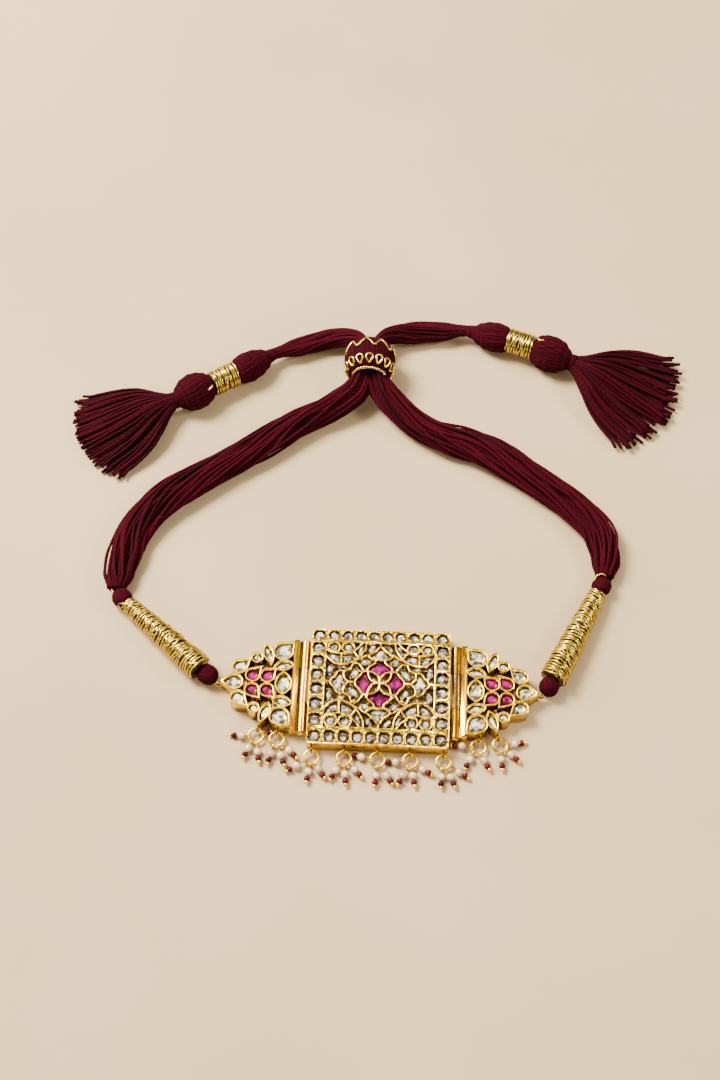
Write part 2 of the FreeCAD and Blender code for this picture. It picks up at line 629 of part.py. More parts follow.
def field_stones():
    """Clear stones of the lattice: ten to a quarter, and one on each half axis."""
    stones = []
    for flip_x in (-1, 1):
        for flip_y in (-1, 1):
            for x, y, radius in ROSE_STONES.values():
                stone = cut_stone(round_outline(radius - STONE_GAP))
                stones.append(seat_on_bow(stone, flip_x * x, flip_y * y))
            for x, y, half_long, half_wide, turn in FIELD_OVALS.values():
                stone = cut_stone(oval_outline(half_long, half_wide, turn * flip_x * flip_y))
                stones.append(seat_on_bow(stone, flip_x * x, flip_y * y))
            for points in FAN_STONES.values():
                stone, x, y = traced_stone([(flip_x * px, flip_y * py) for px, py in points])
                stones.append(seat_on_bow(stone, x, y))
        stone, x, y = traced_stone([(px, flip_x * py) for px, py in OGEE_STONE])
        stones.append(seat_on_bow(stone, x, y))
        stone, x, y = traced_stone([(flip_x * px, py) for px, py in LOBE_STONE])
        stones.append(seat_on_bow(stone, x, y))
    return Part.makeCompound(stones)


def centre_ruby(points, flip_x, flip_y):
    stone, x, y = traced_stone([(flip_x * px, flip_y * py) for px, py in points])
    return seat_on_bow(stone, x, y)


def ring_frame(eye_x, eye_y, azimuth):
    """Middle of a jump ring and its two in-plane directions, hanging outwards from an eye."""
    tilt = math.radians(RING_TILT)
    out = unit(azimuth) * math.cos(tilt) + V(0, 0, -math.sin(tilt))
    across = V(-unit(azimuth).y, unit(azimuth).x, 0)
    return V(eye_x, eye_y, EYE_Z) + out * RING_R, out, across


def ring_places():
    """Name, eye and hanging direction of each jump ring from left to right."""
    inner, outer = SIDE_EYES["inner"], SIDE_EYES["outer"]
    places = [("ring_left_outer", -outer[0], outer[1], 180 - outer[2] + 4),
              ("ring_left_inner", -inner[0], inner[1], 180 - inner[2])]
    for number, x in enumerate(CENTRE_EYE_X):
        places.append(("ring_centre_%d" % (number + 1), x, CENTRE_EYE_Y, CENTRE_RING_TURN[number]))
    places += [("ring_right_inner",) + inner, ("ring_right_outer",) + outer]
    return places


def jump_ring(eye_x, eye_y, azimuth):
    centre, out, across = ring_frame(eye_x, eye_y, azimuth)
    return Part.makeTorus(RING_R, RING_WIRE, centre, out.cross(across))


def charm_line(place, charm):
    """Middle of the pin's loop on the ring, middle of the pearl, and the pin's direction."""
    name, eye_x, eye_y, azimuth = place
    loop_angle, pin_angle, reach = charm
    centre, out, across = ring_frame(eye_x, eye_y, azimuth)
    swing = math.radians(loop_angle - azimuth)
    loop = centre + out * (RING_R * math.cos(swing)) + across * (RING_R * math.sin(swing))
    rest_slope = (loop.z - PEARL_Z) / reach
    head_slope = (loop.z - HEAD_R - 0.06) / (reach + PEARL_TO_HEAD)
    pearl = loop + unit(pin_angle) * reach - V(0, 0, reach * min(rest_slope, head_slope))
    along = pearl - loop
    along.normalize()
    return loop, pearl, along


def head_pin(loop, along, ball_distance):
    """Wire loop round the jump ring, a straight pin, and a ball at its end."""
    ring = Part.makeTorus(LOOP_R, LOOP_WIRE)
    wire = Part.makeCylinder(PIN_WIRE, ball_distance - LOOP_R, V(0, LOOP_R, 0), V(0, 1, 0))
    pin = ring.multiFuse([wire, Part.makeSphere(HEAD_R, V(0, ball_distance, 0))])
    side = along.cross(V(0, 0, 1)).normalize()
    turn = FreeCAD.Rotation(along.cross(side), along, side, "ZYX")
    pin.Placement = FreeCAD.Placement(loop, turn)
    return pin


def charm_pin(place, charm):
    loop, pearl, along = charm_line(place, charm)
    return head_pin(loop, along, (pearl - loop).Length + PEARL_TO_HEAD)


def tucked_pin(place):
    """Pin without a pearl, sloping from its ring down to the surface."""
    name, loop_angle, pin_angle, distance = TUCKED_PIN
    loop = charm_line(place, (loop_angle, pin_angle, distance))[0]
    along = unit(pin_angle) * distance - V(0, 0, loop.z - HEAD_R - 0.1)
    return head_pin(loop, along.normalize(), distance)


def pearl_bead(place, charm):
    loop, pearl, along = charm_line(place, charm)
    drill = Part.makeCylinder(PEARL_HOLE, 4 * PEARL_R, pearl - along * 2 * PEARL_R, along)
    return Part.makeSphere(PEARL_R, pearl, along).cut(drill)


# Cord pieces are faceted skins through rings of corners.

def skin(rings):
    """Solid through equal rings of corners, closed flat at both ends."""
    faces = []
    count = len(rings[0])
    for ring, following in zip(rings, rings[1:]):
        for i in range(count):
            j = (i + 1) % count
            faces.append(polygon_face([ring[i], ring[j], following[j]]))
            faces.append(polygon_face([ring[i], following[j], following[i]]))
    for ring in (rings[0], rings[-1]):
        faces.append(polygon_face(ring))
    return closed_solid(faces)


def section(centre, along, half_wide, half_high, sides=SIDES):
    """Oval ring of corners square to a direction, its flat side level."""
    across = V(along.y, -along.x, 0)
    across.normalize()
    up = across.cross(along)
    up.normalize()
    ring = []
    for k in range(sides):
        place = unit(360 * (k + 0.5) / sides)
        ring.append(centre + across * (place.x * half_wide) + up * (place.y * half_high))
    return ring


def stack(start, end, rows, sides=SIDES, flat=1.0):
    """Solid of oval sections on a straight line; rows are (part of the length, half width)."""
    along = end - start
    rings = [section(start + along * part, along, radius, radius * flat, sides) for part, radius in rows]
    return skin(rings)


def barrel_rows(end_radius, middle_radius, last_radius, count=8):
    """Rows of a rounded barrel from one end radius through the middle to the other."""
    rows = []
    for k in range(count + 1):
        part = k / count
        base = end_radius + (last_radius - end_radius) * part
        lift = middle_radius - (end_radius + last_radius) / 2
        rows.append((part, base + lift * math.sqrt(max(0.0, 1 - (2 * part - 1) ** 2))))
    return rows


def rounded_route(name, points):
    """Places and directions along straight runs joined by tangent arcs; prints the radii."""
    stations = [(points[0], (points[1] - points[0]).normalize())]
    radii = []
    for before, corner, after in zip(points, points[1:], points[2:]):
        first, second = corner - before, after - corner
        shorter = min(first.Length, second.Length)
        first.normalize()
        second.normalize()
        turn = first.getAngle(second)
        cut = 0.45 * shorter
        radius = cut / math.tan(turn / 2)
        radii.append(round(radius, 1))
        start = corner - first * cut
        inward = (second - first).normalize()
        centre = corner + inward * (radius / math.cos(turn / 2))
        spoke = start - centre
        steps = max(2, int(math.ceil(math.degrees(turn) / ARC_STEP)))
        for k in range(steps + 1):
            angle = turn * k / steps
            place = centre + spoke * math.cos(angle) + first * (radius * math.sin(angle))
            ahead = first * math.cos(angle) - spoke * (math.sin(angle) / radius)
            stations.append((place, ahead))
    stations.append((points[-1], (points[-1] - points[-2]).normalize()))
    print(name, "radii", radii)
    return stations


def table_value(rows, part, column):
    """Straight interpolation in rows whose first column runs from 0 to 1."""
    for low, high in zip(rows, rows[1:]):
        if part <= high[0]:
            share = (part - low[0]) / (high[0] - low[0])
            return low[column] + (high[column] - low[column]) * share
    return rows[-1][column]


def cord_bundle(name, route, rows):
    """Bundle of cotton strings along a route; rows are (part of length, half width, half height)."""
    stations = rounded_route(name, [V(*p) for p in route])
    lengths = [0.0]
    for (a, _), (b, _) in zip(stations, stations[1:]):
        lengths.append(lengths[-1] + (b - a).Length)
    rings = []
    for (place, along), so_far in zip(stations, lengths):
        part = so_far / lengths[-1]
        rings.append(section(place, along, table_value(rows, part, 1), table_value(rows, part, 2)))
    print(name, "length", round(lengths[-1], 1))
    return skin(rings)


def slider_bead():
    """Squat round bead with a wide hole from front to back."""
    x, y, z = SLIDER
    front, back = y - SLIDER_LONG / 2, y + SLIDER_LONG / 2
    inner_front, outer_front = V(x + SLIDER_BORE, front, z), V(x + SLIDER_END_R, front, z)
    inner_back, outer_back = V(x + SLIDER_BORE, back, z), V(x + SLIDER_END_R, back, z)
    belly = Part.Arc(outer_front, V(x + SLIDER_R, y, z), outer_back).toShape()
    edges = [Part.makeLine(inner_front, outer_front), belly, Part.makeLine(outer_back, inner_back),
             Part.makeLine(inner_back, inner_front)]
    return Part.Face(Part.Wire(edges)).revolve(V(x, y, z), V(0, 1, 0), 360)


def cone(start, end, first_radius, last_radius):
    along = end - start
    return Part.makeCone(first_radius, last_radius, along.Length, start, along)


def tassel(neck, axis, half_fan, length):
    """Locks of cord ends fanned out from a short head and lying on the surface."""
    head_end = neck + unit(axis) * TASSEL_HEAD_LONG - V(0, 0, TASSEL_HEAD_DROP)
    locks = [stack(neck, head_end, TASSEL_HEAD_ROWS, 10)]
    for k in range(LOCKS):
        share = 2.0 * k / (LOCKS - 1) - 1
        ahead = unit(axis + half_fan * share)
        reach = length * (1 - 0.05 * (k % 3)) * (1 - 0.08 * share * share)
        start = neck + unit(axis) * LOCK_START + unit(axis + 90) * (LOCK_SPREAD * share)
        rings = []
        for part, half_wide, half_high in LOCK_ROWS:
            place = start + ahead * ((reach - LOCK_START) * part)
            place.z = half_high + LOCK_REST + (neck.z - NECK_R) * (1 - part) ** 2
            rings.append(section(place, ahead, half_wide, half_high, LOCK_SIDES))
        locks.append(skin(rings))
    return fused(locks)


def build_cord_side(side, knob, sleeve, collar, route, tail, knots, tassel_sizes):
    """Every cord piece of one side, from the side plate's eye to the tassel."""
    ends = [[V(*p) for p in pair] for pair in (knob, sleeve, collar)]
    eye_shape = tip_eye(CORD_GAP)
    knob_shape = stack(ends[0][0], ends[0][1], barrel_rows(BALL_END_R, KNOB_R, BALL_END_R, 6))
    save(side + "_knob", knob_shape.cut(eye_shape if side == "right" else mirrored(eye_shape, V(1, 0, 0))))
    save(side + "_sleeve", cone(ends[1][0], ends[1][1], SLEEVE_WIDE, SLEEVE_NARROW))
    save(side + "_collar", stack(ends[2][0], ends[2][1], barrel_rows(BALL_END_R, COLLAR_R, BALL_END_R, 6)))
    save(side + "_bundle", cord_bundle(side + "_bundle", route, BUNDLE_ROWS))
    save(side + "_tail", cord_bundle(side + "_tail", tail, TAIL_ROWS))
    places = [V(*p) for p in knots]
    ball = stack(places[0], shortened(places[1], places[0]), barrel_rows(BALL_START_R, BALL_R, BALL_JOIN_R))
    save(side + "_inner_ball", ball)
    save(side + "_winding", cone(places[1], shortened(places[2], places[1]), WINDING_R, WINDING_R * 0.98))
    big = stack(places[2], shortened(places[3], places[2]), barrel_rows(BALL_JOIN_R, BIG_BALL_R, NECK_R))
    save(side + "_outer_ball", big)
    save(side + "_tassel", tassel(places[3] + unit(tassel_sizes[0]) * TASSEL_GAP, *tassel_sizes))


def shortened(place, start):
    """End of a piece, drawn back a little so that it stays clear of the next piece."""
    along = place - start
    return place - along * (WINDING_GAP / along.Length)


plate = centre_plate()
save("centre_plate", plate)
right_plate = side_plate()
save("right_plate", right_plate)
save("left_plate", mirrored(right_plate, V(1, 0, 0)))
save("right_hinge_pin", hinge_pin(HINGE_X))
save("left_hinge_pin", hinge_pin(-HINGE_X))

save("border_stones", border_stones())
save("field_stones", field_stones())
save("ruby_top", centre_ruby(RUBY_UP, 1, 1))
save("ruby_bottom", centre_ruby(RUBY_UP, 1, -1))
save("ruby_right", centre_ruby(RUBY_SIDE, 1, 1))
save("ruby_left", centre_ruby(RUBY_SIDE, -1, 1))

clear_stones = []
rubies = []
for kind, name, flip, sizes in side_settings():
    stone = side_stone(kind, flip, sizes)
    if sizes in SIDE_RUBIES.values():
        rubies.append(("upper" if flip > 0 else "lower", name, stone))
    else:
        clear_stones.append(stone)
right_stones = Part.makeCompound(clear_stones)
save("right_stones", right_stones)
save("left_stones", mirrored(right_stones, V(1, 0, 0)))
for row, name, stone in rubies:
    save("right_ruby_%s_%s" % (row, name), stone)
    save("left_ruby_%s_%s" % (row, name), mirrored(stone, V(1, 0, 0)))

groups = {"left": [], "centre": [], "right": []}
for place in ring_places():
    name, eye_x, eye_y, azimuth = place
    save(name, jump_ring(eye_x, eye_y, azimuth))
    groups[name.split("_")[1]].append(place)
for group, places in groups.items():
    pins = [charm_pin(place, charm) for place in places for charm in CHARMS[place[0]]]
    pins += [tucked_pin(place) for place in places if place[0] == TUCKED_PIN[0]]
    pearls = [pearl_bead(place, charm) for place in places for charm in CHARMS[place[0]]]
    save(group + "_head_pins", Part.makeCompound(pins))
    save(group + "_pearls", Part.makeCompound(pearls))

save("slider_bead", slider_bead())
build_cord_side("left", LEFT_KNOB, LEFT_SLEEVE, LEFT_COLLAR, LEFT_ROUTE, LEFT_TAIL, LEFT_KNOTS, LEFT_TASSEL)
build_cord_side("right", RIGHT_KNOB, RIGHT_SLEEVE, RIGHT_COLLAR, RIGHT_ROUTE, RIGHT_TAIL, RIGHT_KNOTS,
                RIGHT_TASSEL)
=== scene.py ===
import math
import random

import bpy
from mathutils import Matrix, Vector, noise


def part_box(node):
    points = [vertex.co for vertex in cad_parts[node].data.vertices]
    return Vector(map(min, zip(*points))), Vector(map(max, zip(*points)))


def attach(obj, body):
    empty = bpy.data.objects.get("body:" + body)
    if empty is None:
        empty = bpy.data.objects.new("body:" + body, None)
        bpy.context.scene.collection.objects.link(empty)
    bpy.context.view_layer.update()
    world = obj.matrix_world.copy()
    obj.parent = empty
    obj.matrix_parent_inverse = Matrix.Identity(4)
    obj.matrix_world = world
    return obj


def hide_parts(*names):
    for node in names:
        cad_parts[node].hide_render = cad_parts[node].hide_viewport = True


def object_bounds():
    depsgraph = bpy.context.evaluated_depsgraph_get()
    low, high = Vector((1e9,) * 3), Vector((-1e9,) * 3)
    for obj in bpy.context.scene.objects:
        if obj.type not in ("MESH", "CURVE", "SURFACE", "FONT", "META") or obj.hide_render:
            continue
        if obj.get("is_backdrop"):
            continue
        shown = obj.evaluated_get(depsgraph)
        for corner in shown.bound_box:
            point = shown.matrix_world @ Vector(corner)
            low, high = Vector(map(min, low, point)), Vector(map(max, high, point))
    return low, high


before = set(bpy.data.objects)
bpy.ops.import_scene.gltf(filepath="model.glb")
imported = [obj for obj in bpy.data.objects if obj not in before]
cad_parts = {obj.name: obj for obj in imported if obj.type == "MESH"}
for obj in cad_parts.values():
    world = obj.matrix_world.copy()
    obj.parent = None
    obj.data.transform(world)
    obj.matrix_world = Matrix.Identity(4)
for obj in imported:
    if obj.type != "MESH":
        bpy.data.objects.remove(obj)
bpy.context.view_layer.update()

# TABLE TOP, DAYLIGHT AND CAMERA
# A plain pale surface that the armlet lies on, a bright window high on the left, weaker ones on
# the right and in front, and a camera that looks down at sixty degrees from the pearl drops' side.
MM = 0.001
TABLE_SIZE = 6
BRIGHT_SKY_TOWARDS = (-0.55, 0.45, 0.70)
CAMERA_PLACE = (3.95 * MM, -217.24 * MM, 464.22 * MM)
CAMERA_TURN = (math.radians(30), 0, math.radians(2.5))
CAMERA_LENS = 59.5


def clear_selection():
    """Leaves edit mode and deselects everything."""
    if bpy.context.object and bpy.context.object.mode == "EDIT":
        bpy.ops.object.mode_set(mode="OBJECT")
    bpy.ops.object.select_all(action="DESELECT")


def new_finish(name, metallic=0.0, roughness=0.5, specular=0.5, coat=0.0, coat_roughness=0.1):
    """Material with its plain numbers set, its nodes, its links and its shader."""
    finish = bpy.data.materials.new(name)
    finish.use_nodes = True
    nodes, links = finish.node_tree.nodes, finish.node_tree.links
    shader = nodes["Principled BSDF"]
    shader.inputs["Metallic"].default_value = metallic
    shader.inputs["Roughness"].default_value = roughness
    shader.inputs["Specular IOR Level"].default_value = specular
    shader.inputs["Coat Weight"].default_value = coat
    shader.inputs["Coat Roughness"].default_value = coat_roughness
    return finish, nodes, links, shader


def clouded(nodes, links, scale, dark, light, detail=2.0, dark_below=0.35, light_above=0.7):
    """Colour that drifts between a dark and a light tone over the piece."""
    place = nodes.new("ShaderNodeTexCoord")
    cloud = nodes.new("ShaderNodeTexNoise")
    cloud.inputs["Scale"].default_value = scale
    cloud.inputs["Detail"].default_value = detail
    links.new(place.outputs["Object"], cloud.inputs["Vector"])
    tones = nodes.new("ShaderNodeValToRGB")
    tones.color_ramp.elements[0].position = dark_below
    tones.color_ramp.elements[0].color = dark
    tones.color_ramp.elements[1].position = light_above
    tones.color_ramp.elements[1].color = light
    links.new(cloud.outputs["Fac"], tones.inputs["Fac"])
    return tones.outputs["Color"]


clear_selection()
bpy.ops.mesh.primitive_plane_add(size=TABLE_SIZE, location=(0, 0, -0.02 * MM))
table_top = bpy.context.object
table_top.name = "table_top"
bpy.ops.object.transform_apply(location=True, rotation=False, scale=False)
plush, nodes, links, shader = new_finish("pale_plush", roughness=0.95)
pale_tone = clouded(nodes, links, 9.0, (0.40, 0.275, 0.135, 1), (0.455, 0.325, 0.175, 1), detail=6.0,
                    dark_below=0.3, light_above=0.75)
links.new(pale_tone, shader.inputs["Base Color"])
table_top.data.materials.append(plush)
table_top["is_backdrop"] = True

daylight = bpy.data.worlds.new("daylight")
daylight.use_nodes = True
nodes, links = daylight.node_tree.nodes, daylight.node_tree.links
place = nodes.new("ShaderNodeTexCoord")
towards = nodes.new("ShaderNodeVectorMath")
towards.operation = "DOT_PRODUCT"
towards.inputs[1].default_value = BRIGHT_SKY_TOWARDS
links.new(place.outputs["Generated"], towards.inputs[0])
room = nodes.new("ShaderNodeValToRGB")
room.color_ramp.elements[0].position = 0.58
room.color_ramp.elements[0].color = (0.085, 0.075, 0.065, 1)
room.color_ramp.elements[1].position = 0.93
room.color_ramp.elements[1].color = (1.0, 0.97, 0.92, 1)
links.new(towards.outputs["Value"], room.inputs["Fac"])
links.new(room.outputs["Color"], nodes["Background"].inputs["Color"])
nodes["Background"].inputs["Strength"].default_value = 3.3
bpy.context.scene.world = daylight

WINDOWS = [
    ("window_left", (-0.42, 0.30, 0.62), 0.30, 27.0, (1.0, 0.97, 0.92)),
    ("window_right", (0.55, 0.05, 0.45), 0.22, 5.0, (1.0, 0.98, 0.94)),
    ("window_low", (-0.10, -0.75, 0.35), 0.22, 3.6, (1.0, 0.96, 0.9)),
]
for name, spot, size, power, tint in WINDOWS:
    light = bpy.data.lights.new(name, "AREA")
    light.size = size
    light.energy = power
    light.color = tint
    lamp = bpy.data.objects.new(name, light)
    lamp.location = spot
    lamp.rotation_euler = (-Vector(spot)).to_track_quat("-Z", "Y").to_euler()
    bpy.context.collection.objects.link(lamp)

lens = bpy.data.cameras.new("camera")
lens.lens = CAMERA_LENS
lens.sensor_width = 36
lens.clip_start = 0.01
camera = bpy.data.objects.new("camera", lens)
camera.location = CAMERA_PLACE
camera.rotation_euler = CAMERA_TURN
bpy.context.collection.objects.link(camera)
bpy.context.scene.camera = camera

# CENTRE PLATE
# One gold-plated plate, soldered up, with a face that bows from front to back. Thin walls with
# rounded tops stand round every stone, and the floors between them are darker, warmer metal.
# Shade down the walls' sides is painted into the gold's colour.
GOLD_BRIGHT = (0.95, 0.63, 0.024, 1)
GOLD_DEEP = (0.56, 0.33, 0.004, 1)
# Painted shade for the walls' sides, and the darker patina of the pocket floors.
PAINTED_WALL_SHADE = (0.13, 0.06, 0.002, 1)
POCKET_FLOOR = (0.24, 0.15, 0.06, 1)
BOW_RADIUS = 57.0 * MM
BOW_AXIS_BELOW = 49.8 * MM


def new_effect(name, colours, numbers, results):
    """Node group with named colour and number inputs and named outputs, still empty inside."""
    group = bpy.data.node_groups.new(name, "ShaderNodeTree")
    for kind, inputs in (("NodeSocketColor", colours), ("NodeSocketFloat", numbers)):
        for label, value in inputs.items():
            socket = group.interface.new_socket(label, in_out="INPUT", socket_type=kind)
            socket.default_value = value
    for label in results:
        kind = "NodeSocketColor" if label == "Colour" else "NodeSocketFloat"
        group.interface.new_socket(label, in_out="OUTPUT", socket_type=kind)
    nodes = group.nodes
    return group, nodes, group.links, nodes.new("NodeGroupInput"), nodes.new("NodeGroupOutput")


def use_effect(nodes, group, **values):
    """A group put to use in a material, with values for the inputs that differ from its own."""
    effect = nodes.new("ShaderNodeGroup")
    effect.node_tree = group
    for label, value in values.items():
        effect.inputs[label].default_value = value
    return effect


def emboss(nodes, links, shader, height, strength, depth):
    """Slopes on the surface from a height."""
    bump = nodes.new("ShaderNodeBump")
    bump.inputs["Strength"].default_value = strength
    bump.inputs["Distance"].default_value = depth
    links.new(height, bump.inputs["Height"])
    links.new(bump.outputs["Normal"], shader.inputs["Normal"])


def worn_gold_and_painted_shade():
    """Group for worn gold: mottled tone, uneven polish and shallow marks, and a recess colour mixed in by
    depth as painted shade.
    """
    group, nodes, links, given, result = new_effect(
        "worn_gold_and_painted_shade", {"Bright": GOLD_BRIGHT, "Deep": GOLD_DEEP, "Painted_shade_and_patina": PAINTED_WALL_SHADE},
        {"Depth": 0.0, "Polish": 0.12, "Grain": 700.0}, ("Colour", "Roughness", "Height"))
    place = nodes.new("ShaderNodeTexCoord")
    mottle = nodes.new("ShaderNodeTexNoise")
    links.new(place.outputs["Object"], mottle.inputs["Vector"])
    links.new(given.outputs["Grain"], mottle.inputs["Scale"])
    mottle.inputs["Detail"].default_value = 4.0
    tone = nodes.new("ShaderNodeMix")
    tone.data_type = "RGBA"
    spread = nodes.new("ShaderNodeMapRange")
    spread.inputs["From Min"].default_value = 0.42
    spread.inputs["From Max"].default_value = 0.72
    links.new(mottle.outputs["Fac"], spread.inputs["Value"])
    links.new(spread.outputs["Result"], tone.inputs["Factor"])
    links.new(given.outputs["Bright"], tone.inputs["A"])
    links.new(given.outputs["Deep"], tone.inputs["B"])
    # Painted shade: the recess colour is mixed into the tone as far as depth says.
    painted_shade_and_patina_mix = nodes.new("ShaderNodeMix")
    painted_shade_and_patina_mix.data_type = "RGBA"
    links.new(given.outputs["Depth"], painted_shade_and_patina_mix.inputs["Factor"])
    links.new(tone.outputs["Result"], painted_shade_and_patina_mix.inputs["A"])
    links.new(given.outputs["Painted_shade_and_patina"], painted_shade_and_patina_mix.inputs["B"])
    links.new(painted_shade_and_patina_mix.outputs["Result"], result.inputs["Colour"])
    rough = nodes.new("ShaderNodeMath")
    rough.operation = "MULTIPLY_ADD"
    rough.inputs[1].default_value = 0.22
    links.new(mottle.outputs["Fac"], rough.inputs[0])
    links.new(given.outputs["Polish"], rough.inputs[2])
    links.new(rough.outputs["Value"], result.inputs["Roughness"])
    links.new(mottle.outputs["Fac"], result.inputs["Height"])
    return group


WORN_GOLD_AND_PAINTED_SHADE = worn_gold_and_painted_shade()


def gold_finish(name, depth="none", high=0.0, low=0.0, floor=0.0):
    """Gold that is bright above high, painted dark down the wall sides below low as shade, and brown with
    patina on the floors.

    Depth says how the level is measured: "flat" is height, and "bow" is distance from the bow's axis.
    """
    finish, nodes, links, shader = new_finish(name, metallic=1.0)
    gold = use_effect(nodes, WORN_GOLD_AND_PAINTED_SHADE)
    if depth != "none":
        place = nodes.new("ShaderNodeTexCoord")
        parts = nodes.new("ShaderNodeSeparateXYZ")
        links.new(place.outputs["Object"], parts.inputs["Vector"])
        level = parts.outputs["Z"]
        if depth == "bow":
            axis = nodes.new("ShaderNodeCombineXYZ")
            lift = nodes.new("ShaderNodeMath")
            lift.operation = "ADD"
            lift.inputs[1].default_value = BOW_AXIS_BELOW
            links.new(parts.outputs["Z"], lift.inputs[0])
            links.new(parts.outputs["Y"], axis.inputs["Y"])
            links.new(lift.outputs["Value"], axis.inputs["Z"])
            reach = nodes.new("ShaderNodeVectorMath")
            reach.operation = "LENGTH"
            links.new(axis.outputs["Vector"], reach.inputs[0])
            level = reach.outputs["Value"]
        # Mask for the painted wall shade and the floor patina, taken from the level.
        painted_shade_and_patina_mask = nodes.new("ShaderNodeMapRange")
        painted_shade_and_patina_mask.inputs["From Min"].default_value = high
        painted_shade_and_patina_mask.inputs["From Max"].default_value = low
        links.new(level, painted_shade_and_patina_mask.inputs["Value"])
        links.new(painted_shade_and_patina_mask.outputs["Result"], gold.inputs["Depth"])
        near = nodes.new("ShaderNodeMapRange")
        near.inputs["From Min"].default_value = floor + 0.25 * MM
        near.inputs["From Max"].default_value = floor + 0.05 * MM
        links.new(level, near.inputs["Value"])
        painted_shade_and_patina_mix = nodes.new("ShaderNodeMix")
        painted_shade_and_patina_mix.data_type = "RGBA"
        painted_shade_and_patina_mix.inputs["A"].default_value = PAINTED_WALL_SHADE
        painted_shade_and_patina_mix.inputs["B"].default_value = POCKET_FLOOR
        links.new(near.outputs["Result"], painted_shade_and_patina_mix.inputs["Factor"])
        links.new(painted_shade_and_patina_mix.outputs["Result"], gold.inputs["Painted_shade_and_patina"])
    links.new(gold.outputs["Colour"], shader.inputs["Base Color"])
    links.new(gold.outputs["Roughness"], shader.inputs["Roughness"])
    emboss(nodes, links, shader, gold.outputs["Height"], 0.35, 0.05 * MM)
    return finish


def pick(piece):
    """Selects one piece alone and makes it the active one."""
    clear_selection()
    piece.select_set(True)
    bpy.context.view_layer.objects.active = piece


def dress(node, name, finish, smooth=30):
    """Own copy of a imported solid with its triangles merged, smooth where it curves."""
    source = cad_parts[node]
    piece = bpy.data.objects.new(name, source.data.copy())
    bpy.context.collection.objects.link(piece)
    pick(piece)
    bpy.ops.object.mode_set(mode="EDIT")
    bpy.ops.mesh.select_all(action="SELECT")
    bpy.ops.mesh.remove_doubles(threshold=0.001 * MM)
    bpy.ops.object.mode_set(mode="OBJECT")
    bpy.ops.object.shade_smooth_by_angle(angle=math.radians(smooth))
    piece.data.materials.clear()
    piece.data.materials.append(finish)
    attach(piece, "root")
    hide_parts(node)
    return piece


def round_tops(piece, is_top, steps):
    """Insets and lifts the faces that is_top picks, so that a wall's top is rounded over."""
    pick(piece)
    bpy.ops.object.mode_set(mode="EDIT")
    bpy.ops.mesh.select_mode(type="FACE")
    bpy.ops.mesh.select_all(action="DESELECT")
    bpy.ops.object.mode_set(mode="OBJECT")
    for face in piece.data.polygons:
        face.select = is_top(piece.data, face)
    bpy.ops.object.mode_set(mode="EDIT")
    for width, lift in steps:
        bpy.ops.mesh.inset(thickness=width, depth=lift, use_even_offset=False, use_boundary=True)
    bpy.ops.object.mode_set(mode="OBJECT")
    bpy.ops.object.shade_smooth_by_angle(angle=math.radians(50))


def on_bowed_face(data, face):
    """Whether a face lies on the bowed surface that the wall tops share."""
    places = [data.vertices[v].co for v in face.vertices]
    gaps = [abs(math.hypot(place.y, place.z + BOW_AXIS_BELOW) - BOW_RADIUS) for place in places]
    return max(gaps) < 0.03 * MM and face.normal.z > 0.6


def brighten_outside(piece, finish):
    """Gives the plate's outer side faces, which look out at nothing, their own bright gold without the
    painted wall shade.
    """
    piece.data.materials.append(finish)
    for face in piece.data.polygons:
        if abs(face.normal.z) < 0.5:
            start = face.center + face.normal * (0.02 * MM)
            meets_metal = piece.ray_cast(start, face.normal, distance=30 * MM)[0]
            if not meets_metal:
                face.material_index = 1


plain_gold = gold_finish("plain_gold")
plate_gold = gold_finish("plate_gold", depth="bow", high=56.95 * MM, low=56.6 * MM, floor=55.5 * MM)
centre_plate = dress("centre_plate", "centre_plate_gold", plate_gold)
brighten_outside(centre_plate, plain_gold)
round_tops(centre_plate, on_bowed_face, [(0.07 * MM, 0.09 * MM), (0.08 * MM, 0.04 * MM)])

# SIDE PLATES AND HINGE PINS
# Two gold-plated side plates, each a cluster of stone settings with rounded rims, a sunk floor
# between them and a hinge bar with rod-like knuckles. A headed pin runs through each hinge.
SIDE_TOP = 4.7 * MM


def on_side_rim(data, face):
    """Whether a face is the flat top of a side plate's wall."""
    gaps = [abs(data.vertices[v].co.z - SIDE_TOP) for v in face.vertices]
    return max(gaps) < 0.01 * MM and face.normal.z > 0.9


# The side plates' wall sides get the same painted shade as the centre plate's.
side_gold = gold_finish("side_plate_gold", depth="flat", high=4.15 * MM, low=3.6 * MM, floor=1.6 * MM)
for side in ("left", "right"):
    side_plate = dress(side + "_plate", side + "_plate_gold", side_gold)
    brighten_outside(side_plate, plain_gold)
    round_tops(side_plate, on_side_rim, [(0.08 * MM, 0.10 * MM), (0.08 * MM, 0.04 * MM)])
for side in ("left", "right"):
    dress(side + "_hinge_pin", side + "_hinge_pin_gold", plain_gold)

